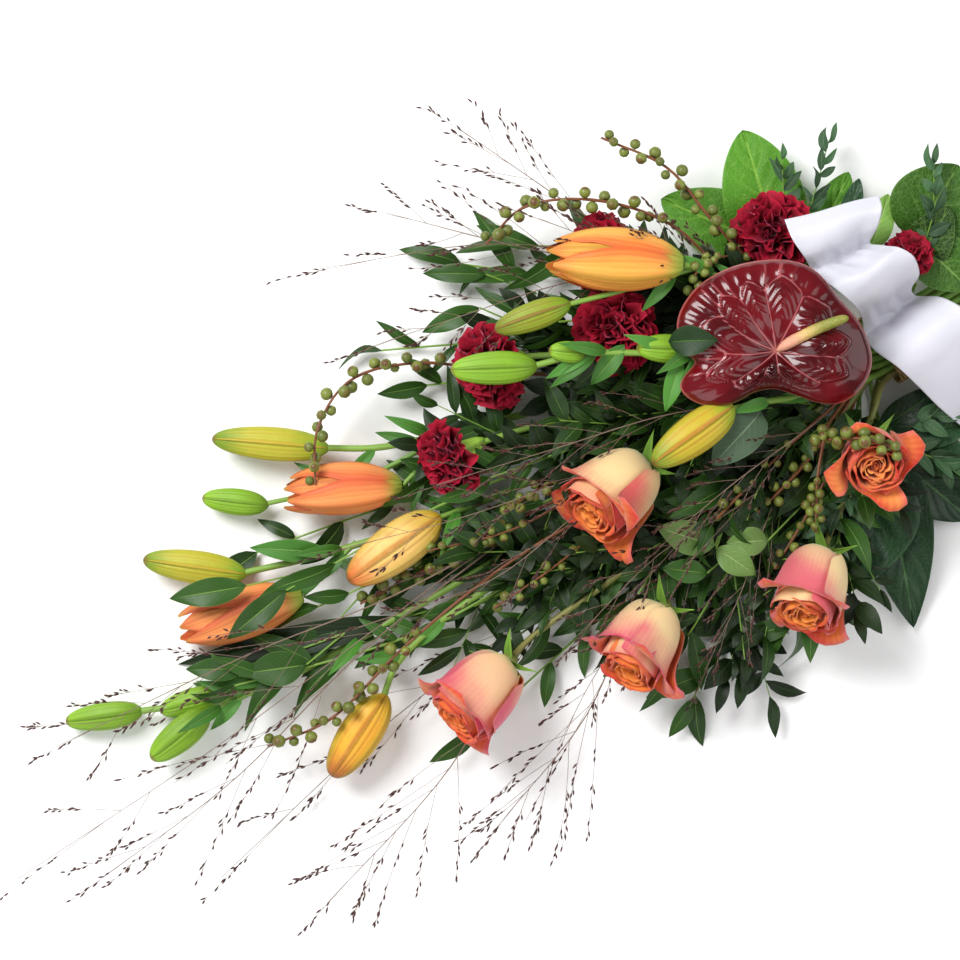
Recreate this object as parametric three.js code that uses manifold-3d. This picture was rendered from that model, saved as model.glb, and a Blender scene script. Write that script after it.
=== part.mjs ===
// A tied funeral spray lying on a flat surface.
// Millimetres, +Z up. The origin is the middle of the flat underside of the tie.
// The flowers point along -X, the cut stem ends along +X, and the surface is Z = 0.
import * as THREE from 'three';
import Module from 'manifold-3d';

const wasm = await Module();
wasm.setup();

// Driving dimensions
const GAP = 0.3; // clearance between touching pieces
const BUNDLE_HALF_WIDTH = 24.6; // half the width of the opening in the tie
const TIE_WALL = 2.8;
const TIE_LENGTH = 26;
const RIBBON_THICKNESS = 1;
const ROSE_LENGTH = 56;
const ROSE_RADIUS = 25;
const CALYX_LENGTH = 26;
const LILY_BUD_ROOT = 5; // how far a bud reaches back over its stem
const BERRY_RADIUS = 4.6;
const SPIKELET_LENGTH = 8;
const GRASS_RADIUS = 1.3;
const THREAD_RADIUS = 0.6;
const SPIKELET_RADIUS = 1.6;
const RUSCUS_LEAF = [46, 15]; // length and width of a leaf
const LEAFY_FROM = 0.33; // share of a leafy stem that is bare
const LEAF_THICKNESS = 1.1;
const PETAL_THICKNESS = 1.2;
const STEM_STEP = 30; // length of one straight stretch of a faceted stem
const MOST_STEM_STEPS = 12;
const CUT_END = 118; // how far the cut stem ends reach past the tie

// The bundle is packed in rows, thin foliage stems at the bottom and flower stems on top
const ROW_RADIUS = [1.8, 2.8, 1.5, 2.6, 2.6];
const ROW_GAP = 0.2;
const ROW_HEIGHT = ROW_RADIUS.reduce((heights, radius, row) => {
  const below = row ? heights[row - 1] + ROW_RADIUS[row - 1] + ROW_GAP : TIE_WALL + GAP;
  return [...heights, below + radius];
}, []);
const TIE_HEIGHT = ROW_HEIGHT[4] + ROW_RADIUS[4] + GAP + TIE_WALL;

// Looks: colour, roughness
const LOOKS = {
  twine: [0xb59a6a, 0.9],
  satin: [0xf4f4f6, 0.4],
  darkStem: [0x4a6b2f, 0.6],
  roseStem: [0x6c7a3a, 0.6],
  rose: [0xf28b54, 0.6],
  roseCream: [0xf7c98a, 0.6],
  rosePink: [0xe4606a, 0.6],
  roseOrange: [0xf06a2e, 0.6],
  carnation: [0x7a0f1c, 0.8],
  calyx: [0x9cb86a, 0.6],
  spathe: [0x6e1418, 0.2],
  spadix: [0xc9a07a, 0.5],
  lilyGreen: [0x86b03a, 0.5],
  lilyYellow: [0xd9a935, 0.5],
  lilyOrange: [0xf0923c, 0.5],
  berry: [0x5f6b2c, 0.4],
  grass: [0x6a5048, 0.8],
  ruscus: [0x24521f, 0.5],
  salal: [0x4a8a2c, 0.4],
};

// Vectors, seeded draws and small formulas
const vec = (x, y, z) => new THREE.Vector3(x, y, z);
const mix = (a, b, t) => a + (b - a) * t;
const clamp = (x, low = 0, high = 1) => Math.min(high, Math.max(low, x));
const along = (point, direction, distance) => point.clone().addScaledVector(direction, distance);
const GOLDEN_ANGLE = Math.PI * (3 - Math.sqrt(5));

function seeded(seed) {
  let state = seed >>> 0;
  return () => {
    state = (state + 0x6d2b79f5) >>> 0;
    let t = state;
    t = Math.imul(t ^ (t >>> 15), t | 1);
    t ^= t + Math.imul(t ^ (t >>> 7), t | 61);
    return ((t ^ (t >>> 14)) >>> 0) / 4294967296;
  };
}

// A right-handed frame whose Z runs along an axis and whose X leans towards a side
function frameAlong(origin, axis, side = vec(0, 0, 1)) {
  const z = axis.clone().normalize();
  const x = side.clone().addScaledVector(z, -side.dot(z));
  if (x.lengthSq() < 1e-6) x.set(1, 0, 0).addScaledVector(z, -z.x);
  x.normalize();
  const y = z.clone().cross(x);
  return new THREE.Matrix4().makeBasis(x, y, z).setPosition(origin);
}

// Welds equal points, drops collapsed triangles and returns the closed shape as a solid
function weld(points, triangles) {
  const seen = new Map();
  const places = [];
  const merged = points.map((p) => {
    const key = [p.x, p.y, p.z].map((c) => Math.round(c * 1e4)).join();
    if (!seen.has(key)) {
      seen.set(key, places.length / 3);
      places.push(p.x, p.y, p.z);
    }
    return seen.get(key);
  });
  const kept = triangles
    .map((triangle) => triangle.map((i) => merged[i]))
    .filter(([a, b, c]) => a !== b && b !== c && c !== a);
  return new wasm.Manifold(new wasm.Mesh({
    numProp: 3,
    vertProperties: new Float32Array(places),
    triVerts: new Uint32Array(kept.flat()),
  }));
}

// Turns any closed three.js geometry into a solid
function solidOf(geometry) {
  const position = geometry.getAttribute('position');
  const points = Array.from({ length: position.count }, (_, i) => (
    new THREE.Vector3().fromBufferAttribute(position, i)));
  const index = geometry.index
    ? Array.from(geometry.index.array)
    : points.map((_, i) => i);
  const triangles = [];
  for (let i = 0; i < index.length; i += 3) triangles.push(index.slice(i, i + 3));
  return weld(points, triangles);
}

const fuse = (solids) => solids.reduce((whole, solid) => whole.add(solid));

// Keeps the biggest closed skin, which drops loose scrap and fills sealed hollows
function mainSkin(solid) {
  const { vertProperties, triVerts, numProp } = solid.getMesh();
  const point = (i) => vec(...vertProperties.slice(i * numProp, i * numProp + 3));
  const parent = Array.from({ length: vertProperties.length / numProp }, (_, i) => i);
  const root = (i) => {
    let top = i;
    while (parent[top] !== top) top = parent[top];
    parent[i] = top;
    return top;
  };
  const skins = new Map();
  for (let i = 0; i < triVerts.length; i += 3) {
    parent[root(triVerts[i + 1])] = root(triVerts[i]);
    parent[root(triVerts[i + 2])] = root(triVerts[i]);
  }
  for (let i = 0; i < triVerts.length; i += 3) {
    const corners = Array.from(triVerts.slice(i, i + 3));
    const [a, b, c] = corners.map(point);
    const skin = skins.get(root(corners[0])) ?? { volume: 0, corners: [] };
    skin.volume += a.dot(b.cross(c)) / 6;
    skin.corners.push(...corners);
    skins.set(root(corners[0]), skin);
  }
  const [main] = [...skins.values()].sort((a, b) => b.volume - a.volume);
  const numbers = new Map();
  const positions = [];
  const index = main.corners.map((corner) => {
    if (!numbers.has(corner)) {
      numbers.set(corner, numbers.size);
      positions.push(...point(corner).toArray());
    }
    return numbers.get(corner);
  });
  const geometry = new THREE.BufferGeometry();
  geometry.setAttribute('position', new THREE.Float32BufferAttribute(positions, 3));
  geometry.setIndex(index);
  return geometry;
}

// Blade: two faces over a middle surface point(u, v), u from 0 to 1 along and v from -1 to 1
// across, each half(u, v) away from it. Both faces are split alike, with a wall round the edge.
function blade(point, rows, columns, half) {
  const STEP = 0.01;
  const faces = [[], []];
  for (let i = 0; i <= rows; i += 1) {
    for (let j = 0; j <= columns; j += 1) {
      const u = i / rows;
      const v = -1 + (2 * j) / columns;
      const inner = clamp(u, 0.08, 0.92);
      const away = point(inner + STEP, v * 0.98).sub(point(inner - STEP, v * 0.98));
      const across = point(inner, v * 0.98 + STEP).sub(point(inner, v * 0.98 - STEP));
      const normal = away.cross(across).normalize();
      const middle = point(u, v);
      faces[0].push(along(middle, normal, half(u, v)));
      faces[1].push(along(middle, normal, -half(u, v)));
    }
  }
  const width = columns + 1;
  const count = faces[0].length;
  const triangles = [];
  for (let i = 0; i < rows; i += 1) {
    for (let j = 0; j < columns; j += 1) {
      const a = i * width + j;
      const [b, c, d] = [a + 1, a + width, a + width + 1];
      const split = j < columns / 2 ? [[a, c, d], [a, d, b]] : [[a, c, b], [b, c, d]];
      for (const [p, q, r] of split) {
        triangles.push([p, q, r], [p + count, r + count, q + count]);
      }
    }
  }
  const rim = [];
  for (let j = 0; j < columns; j += 1) rim.push(j);
  for (let i = 0; i < rows; i += 1) rim.push(i * width + columns);
  for (let j = columns; j > 0; j -= 1) rim.push(rows * width + j);
  for (let i = rows; i > 0; i -= 1) rim.push(i * width);
  rim.forEach((a, k) => {
    const b = rim[(k + 1) % rim.length];
    triangles.push([a, b, a + count], [b, b + count, a + count]);
  });
  return weld([...faces[0], ...faces[1]], triangles);
}

// Half thickness that runs out to a sharp edge, or to a blunt one where the piece is grown
const lens = (thickness, grow) => (u, v) => {
  const edge = Math.abs(v) > 0.99 || u < 0.01 || u > 0.99;
  return (edge ? 0 : thickness / 2) + grow;
};

// Outline of a leaf as a share of its half width: widest at u = rise / (rise + fall)
const leafWidth = (rise, fall) => {
  const peak = rise / (rise + fall);
  const scale = peak ** rise * (1 - peak) ** fall;
  return (u) => (clamp(u) ** rise * (1 - clamp(u)) ** fall) / scale;
};
const LANCE = leafWidth(0.8, 1);
const OVAL = leafWidth(0.5, 0.62);
const HEART = leafWidth(0.3, 0.85);

// A folded, arched leaf from its base along a direction, with its upper face towards up
function leaf(base, direction, length, width, grow = 0, shape = {}) {
  const { up = vec(0, 0, 1), outline = LANCE, fold = 0.25, arch = 0.12, rows = 3, wave = 0,
    thickness = LEAF_THICKNESS } = shape;
  const matrix = frameAlong(base, direction, up);
  const halfWidth = width / 2;
  const point = (u, v) => {
    const reach = (halfWidth * outline(u) + grow) * v;
    const height = fold * Math.abs(reach) - arch * length * (2 * u - 1) ** 2 + arch * length;
    const ripple = wave * Math.abs(v) * Math.sin(u * rows * Math.PI * 0.5 + 0.6);
    return vec(height + ripple, reach, u * (length + 2 * grow) - grow).applyMatrix4(matrix);
  };
  return blade(point, rows, 2, lens(thickness, grow));
}

// The smooth line through a stem's points, and how many straight stretches stand for it
function stemCurve(points, step = STEM_STEP) {
  const curve = new THREE.CatmullRomCurve3(points, false, 'centripetal');
  return { curve, steps: clamp(Math.round(curve.getLength() / step), 1, MOST_STEM_STEPS) };
}

// A place on the faceted stem itself and its heading there, at a share of the length
function stemPlace(points, share, step = STEM_STEP) {
  const { curve, steps } = stemCurve(points, step);
  const stretch = clamp(Math.floor(share * steps), 0, steps - 1);
  const start = curve.getPointAt(stretch / steps);
  const end = curve.getPointAt((stretch + 1) / steps);
  const place = start.clone().lerp(end, share * steps - stretch);
  return { place, heading: end.sub(start).normalize() };
}

// A tube of few sides along a smooth line through its points
function tube(points, radius, grow = 0, sides = 5, step = STEM_STEP) {
  const { curve, steps } = stemCurve(points, step);
  const section = new THREE.Shape();
  for (let i = 0; i < sides; i += 1) {
    const angle = (i / sides) * 2 * Math.PI;
    const corner = [(radius + grow) * Math.cos(angle), (radius + grow) * Math.sin(angle)];
    if (i) section.lineTo(...corner);
    else section.moveTo(...corner);
  }
  const options = { steps, bevelEnabled: false, extrudePath: curve };
  return solidOf(new THREE.ExtrudeGeometry(section, options));
}

// A closed body round an axis: radius(u, angle) at the height reached at u, from pole to pole
function body(matrix, length, radius, sides, rings, grow = 0) {
  const points = [vec(0, 0, -grow)];
  for (let i = 1; i <= rings; i += 1) {
    const u = (1 - Math.cos((Math.PI * i) / (rings + 1))) / 2;
    for (let j = 0; j < sides; j += 1) {
      const angle = (j / sides) * 2 * Math.PI;
      const reach = radius(u, j) + grow;
      points.push(vec(reach * Math.cos(angle), reach * Math.sin(angle), u * length));
    }
  }
  points.push(vec(0, 0, length + grow));
  const last = points.length - 1;
  const triangles = [];
  for (let j = 0; j < sides; j += 1) {
    const next = (j + 1) % sides;
    triangles.push([0, 1 + next, 1 + j]);
    triangles.push([last, last - sides + j, last - sides + next]);
    for (let i = 0; i < rings - 1; i += 1) {
      const a = 1 + i * sides + j;
      const b = 1 + i * sides + next;
      triangles.push([a, b, b + sides], [a, b + sides, a + sides]);
    }
  }
  return weld(points.map((p) => p.applyMatrix4(matrix)), triangles);
}

// Slot of a stem in the bundle: its row and its place across, counted in stems from the middle
const slot = (row, place, end = CUT_END) => {
  const y = place * (2 * ROW_RADIUS[row] + ROW_GAP);
  return [
    vec(end, y * 1.12, ROW_HEIGHT[row]),
    vec(TIE_LENGTH * 0.8, y, ROW_HEIGHT[row]),
    vec(0, y, ROW_HEIGHT[row]),
    vec(-TIE_LENGTH * 0.8, y, ROW_HEIGHT[row]),
  ];
};

// Tie: a band with a flat underside round the bundle
function tieOutline(halfWidth, height, corner) {
  const shape = new THREE.Shape();
  shape.moveTo(-halfWidth + corner, 0);
  shape.lineTo(halfWidth - corner, 0);
  shape.absarc(halfWidth - corner, corner, corner, -Math.PI / 2, 0);
  shape.absarc(halfWidth - corner, height - corner, corner, 0, Math.PI / 2);
  shape.absarc(-halfWidth + corner, height - corner, corner, Math.PI / 2, Math.PI);
  shape.absarc(-halfWidth + corner, corner, corner, Math.PI, Math.PI * 1.5);
  return shape;
}

function tie(grow) {
  const CORNER = 9;
  const outer = tieOutline(BUNDLE_HALF_WIDTH + TIE_WALL + grow, TIE_HEIGHT + grow, CORNER);
  const inside = tieOutline(BUNDLE_HALF_WIDTH - grow, TIE_HEIGHT - 2 * TIE_WALL, CORNER - TIE_WALL);
  const options = { depth: TIE_LENGTH, bevelEnabled: false, curveSegments: 2 };
  const place = (geometry, lift) => geometry
    .translate(0, lift, -TIE_LENGTH / 2)
    .rotateX(Math.PI / 2)
    .rotateZ(Math.PI / 2);
  const ring = solidOf(place(new THREE.ExtrudeGeometry(outer, options), 0));
  const hole = place(new THREE.ExtrudeGeometry(inside, { ...options, depth: TIE_LENGTH * 2 }), TIE_WALL);
  return [ring.subtract(solidOf(hole.translate(-TIE_LENGTH / 2, 0, 0)))];
}

// Ribbon: its two long edges as places on the spray, pleated over the tie, then down to the surface
const RIBBON_EDGES = [
  [vec(-31, 113, 77), vec(34, 94, 72)],
  [vec(-34, 98, 84), vec(31, 84, 80)],
  [vec(-33, 84, 82), vec(22, 73, 76)],
  [vec(-31, 72, 68), vec(15, 66, 62)],
  [vec(-29, 60, 70), vec(24, 56, 70)],
  [vec(-25, 50, 80), vec(34, 44, 78)],
  [vec(-20, 36, 78), vec(33, 32, 72)],
  [vec(-17, 27, 54), vec(24, 27, 50)],
  [vec(-18, 16, TIE_HEIGHT + 1.2), vec(28, 20, TIE_HEIGHT + 1.2)],
  [vec(-20, 4, 46), vec(40, 10, 46)],
  [vec(-14, -14, 58), vec(50, -10, 56)],
  [vec(-8, -32, 52), vec(60, -30, 50)],
  [vec(0, -56, 38), vec(72, -52, 36)],
  [vec(12, -82, 18), vec(82, -72, 17)],
  [vec(24, -106, 7), vec(92, -94, 7)],
  [vec(36, -134, 1.3), vec(104, -120, 1.3)],
  [vec(52, -172, 1), vec(116, -146, 1)],
];

function ribbon(grow) {
  const rows = 22;
  const edges = [0, 1].map((side) => new THREE.CatmullRomCurve3(RIBBON_EDGES.map((pair) => pair[side])));
  const point = (u, v) => edges[0].getPoint(clamp(u)).lerp(edges[1].getPoint(clamp(u)), (v + 1) / 2);
  return [blade(point, rows, 1, () => RIBBON_THICKNESS / 2 + grow)];
}

// Closed shell from a bottom pole over rings of points to a top pole. Each ring is a function
// of the corner number that gives its reach and height as shares of the radius and the length.
function ringedShell(matrix, radius, length, sides, rings, topHeight, grow) {
  const points = [vec(0, 0, -grow)];
  for (const ring of rings) {
    for (let j = 0; j < sides; j += 1) {
      const [reach, height] = ring(j);
      const angle = (j / sides) * 2 * Math.PI;
      const out = reach * radius + grow;
      points.push(vec(out * Math.cos(angle), out * Math.sin(angle), height * length + grow));
    }
  }
  points.push(vec(0, 0, topHeight * length + grow));
  const last = points.length - 1;
  const triangles = [];
  for (let j = 0; j < sides; j += 1) {
    const next = (j + 1) % sides;
    triangles.push([0, 1 + next, 1 + j]);
    triangles.push([last, last - sides + j, last - sides + next]);
    for (let i = 0; i < rings.length - 1; i += 1) {
      const p = 1 + i * sides + j;
      const q = 1 + i * sides + next;
      triangles.push([p, q, q + sides], [p, q + sides, p + sides]);
    }
  }
  return weld(points.map((p) => p.applyMatrix4(matrix)), triangles);
}

// Rose: three layers of petals, each a cup whose lip is notched between petals and curls out.
// A layer's corners are a notch and two points of a petal in turn, set off from layer to layer.
function rose(base, axis, scale, seed, grow) {
  const draw = seeded(seed);
  const tilts = Array.from({ length: 15 }, () => mix(-0.04, 0.05, draw()));
  const plain = (reach, height) => () => [reach, height];
  const lip = (reach, height, curl, notch, turn) => (j) => {
    const inPetal = (j + turn) % 3 > 0;
    const lift = tilts[(Math.floor((j + turn) / 3) + turn * 5) % 15];
    return inPetal ? [reach + curl, height + lift] : [reach, height - notch];
  };
  const outside = [plain(0.36, 0.05), plain(0.84, 0.32), plain(1, 0.6)];
  const layers = [
    lip(1.02, 0.92, 0.16, 0.16, 0), plain(0.8, 0.66), lip(0.66, 1, 0.08, 0.12, 1),
    plain(0.46, 0.76), lip(0.34, 0.98, 0.04, 0.08, 2),
  ];
  return [ringedShell(frameAlong(base, axis), ROSE_RADIUS * scale, ROSE_LENGTH * scale, 15,
    [...outside, ...layers], 0.84, grow)];
}

// Rose stem: the stem, the hip under the bloom and sepals turned back along the bloom
function roseStem(path, base, axis, grow) {
  const hip = body(frameAlong(along(base, axis, -7), axis), 12, () => 6, 5, 2, grow);
  const matrix = frameAlong(base, axis);
  const sepals = [0, 1, 2, 3, 4].map((k) => {
    const angle = ((k + 0.5) / 5) * 2 * Math.PI;
    const out = vec(Math.cos(angle), Math.sin(angle), 0.1).transformDirection(matrix);
    const away = out.clone().addScaledVector(axis, k % 2 ? -0.25 : -0.6).normalize();
    return leaf(along(base, axis, -2.5), away, 24, 8, grow, { up: axis, rows: 2, arch: 0.1 });
  });
  return [tube(path, ROW_RADIUS[3], grow), hip, ...sepals];
}

// Carnation: a core under ruffled, toothed petals spread over a dome
function carnation(base, axis, radius, petals, grow) {
  const matrix = frameAlong(along(base, axis, -2), axis);
  const core = body(matrix, radius * 0.72, () => radius * 0.58, 5, 2, grow);
  const fans = Array.from({ length: petals }, (_, k) => {
    const share = (k + 0.5) / petals;
    const polar = 0.12 + 1.5 * Math.sqrt(share);
    const turn = k * GOLDEN_ANGLE;
    const reach = radius * (1.02 - 0.12 * share);
    const point = (u, v) => {
      const fan = v * 0.56 * (0.35 + 0.65 * u);
      const tooth = 1 + 0.09 * Math.cos(v * Math.PI * 4) * u;
      const ruffle = 0.17 * u * u * Math.sin(v * Math.PI * 2 + k);
      const distance = reach * (0.2 + 0.8 * u) * tooth;
      const lean = polar + ruffle + (k % 2 ? 0.1 : -0.1) * u;
      const spread = turn + fan / Math.max(0.45, Math.sin(lean));
      return vec(
        distance * Math.sin(lean) * Math.cos(spread),
        distance * Math.sin(lean) * Math.sin(spread),
        distance * Math.cos(lean) * 0.86 + radius * 0.12,
      ).applyMatrix4(matrix);
    };
    return blade(point, 2, 4, lens(PETAL_THICKNESS, grow));
  });
  return [core, ...fans];
}

function carnationStem(path, base, axis, grow) {
  const calyx = body(frameAlong(along(base, axis, -CALYX_LENGTH), axis), CALYX_LENGTH + 3,
    (u) => mix(4, 7.2, clamp(u * 1.6)), 6, 2, grow);
  return [tube(path, ROW_RADIUS[3], grow), calyx];
}

// Lily buds: closed ones have three ridges, opening ones have tepals that part at the tip
function lilyBud(base, tip, width, grow) {
  const axis = tip.clone().sub(base).normalize();
  const foot = along(base, axis, -LILY_BUD_ROOT);
  const bulge = (u) => Math.sin(Math.PI * (0.07 + 0.86 * u ** 0.85)) ** 0.8;
  const radius = (u, j) => (width / 2) * bulge(u) * (j % 2 ? 0.84 : 1);
  return body(frameAlong(foot, axis), tip.distanceTo(foot), radius, 6, 4, grow);
}

function openingBud(base, tip, width, grow) {
  const axis = tip.clone().sub(base);
  const tepal = (reach, height, groove, drop) => (j) => (
    j % 2 ? [reach - groove, height - drop] : [reach, height]);
  const rings = [
    tepal(0.3, 0.03, 0, 0), tepal(0.8, 0.3, 0.1, 0), tepal(1, 0.62, 0.16, 0),
    tepal(1.12, 1, 0.3, 0.26), tepal(0.62, 0.76, 0.08, 0.06), tepal(0.4, 0.84, 0, 0),
  ];
  return [ringedShell(frameAlong(base, axis), width / 2, axis.length(), 12, rings, 0.95, grow)];
}

// Anthurium: a waxy heart-shaped spathe given by its reach round the spadix foot
const SPATHE_FOOT = vec(-84, 39, 92);
const SPATHE_REACH = [
  [-150, 33], [-122, 26], [-95, 34], [-68, 58], [-42, 66], [-20, 62], [8, 56], [38, 62], [72, 63],
  [94, 66], [116, 70], [134, 70], [150, 62], [157, 56], [170, 70], [188, 60],
];

function spathe(grow) {
  const sides = SPATHE_REACH.length;
  const top = [];
  const bottom = [];
  const rings = [0.55, 1];
  const height = (angle, share) => 3 + 7 * Math.sin(share * Math.PI * 0.8)
    - 6 * share ** 3 + 2.5 * share * Math.cos(2 * angle + 0.5) - (angle > 2.7 ? 2 * share : 0);
  for (const share of rings) {
    for (const [degrees, reach] of SPATHE_REACH) {
      const angle = (degrees * Math.PI) / 180;
      const spread = share * (reach + grow);
      const foot = vec(spread * Math.cos(angle), spread * Math.sin(angle), height(angle, share));
      const half = (share === 1 ? 0.35 : 0.8) + grow;
      top.push(along(foot, vec(0, 0, 1), half));
      bottom.push(along(foot, vec(0, 0, 1), -half));
    }
  }
  top.push(vec(0, 0, 3 + 0.8 + grow));
  bottom.push(vec(0, 0, 3 - 0.8 - grow));
  const count = top.length;
  const triangles = [];
  const both = (a, b, c) => triangles.push([a, b, c], [a + count, c + count, b + count]);
  for (let j = 0; j < sides; j += 1) {
    const next = (j + 1) % sides;
    both(count - 1, j, next);
    for (let i = 0; i < rings.length - 1; i += 1) {
      both(i * sides + j, (i + 1) * sides + j, (i + 1) * sides + next);
      both(i * sides + j, (i + 1) * sides + next, i * sides + next);
    }
    const rim = (rings.length - 1) * sides;
    triangles.push([rim + j, rim + j + count, rim + next]);
    triangles.push([rim + next, rim + j + count, rim + next + count]);
  }
  return [weld([...top, ...bottom].map((p) => p.add(SPATHE_FOOT)), triangles)];
}

const SPADIX_TIP = vec(-28, 33, 112);

function spadix(grow) {
  const foot = SPATHE_FOOT.clone().add(vec(0, 0, 4));
  const axis = SPADIX_TIP.clone().sub(foot);
  return [body(frameAlong(foot, axis), axis.length(), (u) => mix(4.4, 2.9, u), 6, 4, grow)];
}

// Berry twig: round berries in turn on both sides of a thin twig
function berryTwig(path, berries, from, seed, grow) {
  const draw = seeded(seed);
  const round = Array.from({ length: berries }, (_, k) => {
    const { place } = stemPlace(path, mix(from, 1, (k + 0.4) / berries));
    const turn = k * GOLDEN_ANGLE + draw();
    const lift = Math.abs(Math.sin(turn)) * 0.8 + 0.1;
    const out = vec(0.4 * Math.cos(turn), Math.cos(turn), lift).normalize();
    const radius = BERRY_RADIUS * mix(0.9, 1.1, draw());
    const geometry = new THREE.IcosahedronGeometry(radius + grow, 0);
    geometry.translate(...along(place, out, radius * 0.66 + 0.8).toArray());
    return solidOf(geometry);
  });
  return [tube(path, ROW_RADIUS[2] * 1.1, grow, 3), ...round];
}

// Strand: three-sided rings of given reach round the points of a line, closed to a point at the end
function strand(line, reaches, grow) {
  const points = [along(line[0], line[1].clone().sub(line[0]).normalize(), -grow)];
  reaches.forEach((reach, i) => {
    const heading = line[i + 1].clone().sub(line[Math.max(i - 1, 0)]);
    const matrix = frameAlong(line[i], heading);
    for (let j = 0; j < 3; j += 1) {
      const angle = (j / 3) * 2 * Math.PI;
      const out = reach + grow;
      points.push(vec(out * Math.cos(angle), out * Math.sin(angle), 0).applyMatrix4(matrix));
    }
  });
  points.push(line[line.length - 1].clone());
  const last = points.length - 1;
  const triangles = [];
  for (let j = 0; j < 3; j += 1) {
    const next = (j + 1) % 3;
    triangles.push([0, 1 + next, 1 + j], [last, last - 3 + j, last - 3 + next]);
    for (let p = 1 + j, q = 1 + next; p + 3 < last; p += 3, q += 3) {
      triangles.push([p, q, q + 3], [p, q + 3, p + 3]);
    }
  }
  return weld(points, triangles);
}

// Grass: a thin stalk whose thread-like branches carry small pointed spikelets
function panicle(path, branches, seed, grow) {
  const draw = seeded(seed);
  const thread = (root, bend, end) => {
    const first = bend.clone().sub(root).normalize();
    const then = end.clone().sub(bend).normalize();
    const line = [
      root, along(bend, first, -SPIKELET_LENGTH / 2), bend, along(bend, then, SPIKELET_LENGTH / 2),
      along(end, then, -SPIKELET_LENGTH), along(end, then, -SPIKELET_LENGTH / 2), end,
    ];
    const [thin, full] = [THREAD_RADIUS, SPIKELET_RADIUS];
    return strand(line, [thin, thin, full, thin, thin, full], grow);
  };
  const threads = Array.from({ length: branches }, (_, k) => {
    const { place: root, heading } = stemPlace(path, mix(0.5, 0.95, k / branches));
    const side = vec(-heading.y, heading.x, 0).normalize().multiplyScalar(k % 2 ? 1 : -1);
    const away = heading.clone().addScaledVector(side, mix(0.35, 0.6, draw())).normalize();
    away.z += mix(-0.05, 0.12, draw());
    const reach = mix(95, 45, k / branches) * mix(0.85, 1.15, draw());
    const end = along(root, away, reach);
    end.z = Math.max(end.z, 3);
    return thread(root, along(along(root, away, reach * 0.6), side, 5), end);
  });
  const tip = stemPlace(path, 1);
  const spikelet = thread(along(tip.place, tip.heading, -4), along(tip.place, tip.heading, 9),
    along(tip.place, tip.heading, 30));
  return [tube(path, GRASS_RADIUS, grow, 3), ...threads, spikelet];
}

// Leafy stem: pointed leaves in turn on both sides from one share of the path to its end
function leafyStem(path, leaves, seed, grow) {
  const draw = seeded(seed);
  const blades = Array.from({ length: leaves }, (_, k) => {
    const { place, heading } = stemPlace(path, mix(LEAFY_FROM, 1, (k + 0.3) / leaves));
    const side = vec(-heading.y, heading.x, 0).normalize().multiplyScalar(k % 2 ? 1 : -1);
    const open = k === leaves - 1 ? 0.1 : mix(0.6, 0.9, draw());
    const away = heading.clone().addScaledVector(side, open);
    away.z = mix(0.006, 0.032, draw());
    const size = mix(1.08, 0.8, k / leaves) * mix(0.9, 1.1, draw());
    return leaf(place, away.normalize(), RUSCUS_LEAF[0] * size, RUSCUS_LEAF[1] * size, grow,
      { fold: 0.2, arch: 0.05 });
  });
  return [tube(path, ROW_RADIUS[0], grow, 3), ...blades];
}

// Order of the pieces: each is cleared, by the gap, of every piece listed before it. Stems, twigs
// and grasses come first, so that they stay whole; the blooms follow, and the greenery is last.
const parts = [];
const blooms = [];
function piece(name, look, shapes) {
  parts.push({ name, look, solid: fuse(shapes(0)), keepOut: fuse(shapes(GAP)) });
}

piece('tie', 'twine', tie);
piece('ribbon', 'satin', ribbon);

// Anthurium
const anthuriumPath = [...slot(4, -1.5, 96), vec(-58, 17, 50), vec(-76, 31, 74),
  SPATHE_FOOT.clone().add(vec(0, 0, 1.5))];
piece('anthurium_stem', 'darkStem', (grow) => [tube(anthuriumPath, ROW_RADIUS[4], grow)]);
blooms.push(['anthurium_spadix', 'spadix', spadix], ['anthurium_spathe', 'spathe', spathe]);

// Roses: foot of the bloom, its axis, its size, its slot and the way of its stem
const ROSES = [
  { base: vec(-200, 16, 52), axis: vec(-0.86, -0.14, 0.48), scale: 1.08, slot: slot(3, 0),
    way: [vec(-95, 6, 38)], look: 'roseCream' },
  { base: vec(-352, -52, 44), axis: vec(-0.9, -0.24, 0.36), scale: 1.05, slot: slot(3, -1, 100),
    way: [vec(-150, -26, 34), vec(-260, -40, 38)], look: 'rosePink' },
  { base: vec(-240, -76, 44), axis: vec(-0.8, -0.42, 0.42), scale: 1, slot: slot(3, -2, 125),
    way: [vec(-120, -46, 34)], look: 'roseCream' },
  { base: vec(-124, -101, 46), axis: vec(-0.66, -0.5, 0.55), scale: 1, slot: slot(3, -3, 108),
    way: [vec(-62, -58, 32)], look: 'rose' },
  { base: vec(-60, -52, 56), axis: vec(-0.16, -0.26, 0.95), scale: 0.86, slot: slot(4, -3.5, 90),
    way: [vec(-42, -34, 38)], look: 'roseOrange' },
];
ROSES.forEach(({ base, axis, scale, slot: start, way, look }, k) => {
  axis.normalize();
  const path = [...start, ...way, along(base, axis, -24), base];
  piece(`rose_stem_${k + 1}`, 'roseStem', (grow) => roseStem(path, base, axis, grow));
  blooms.push([`rose_${k + 1}`, look, (grow) => rose(base, axis, scale, 71 + k, grow)]);
});

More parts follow.
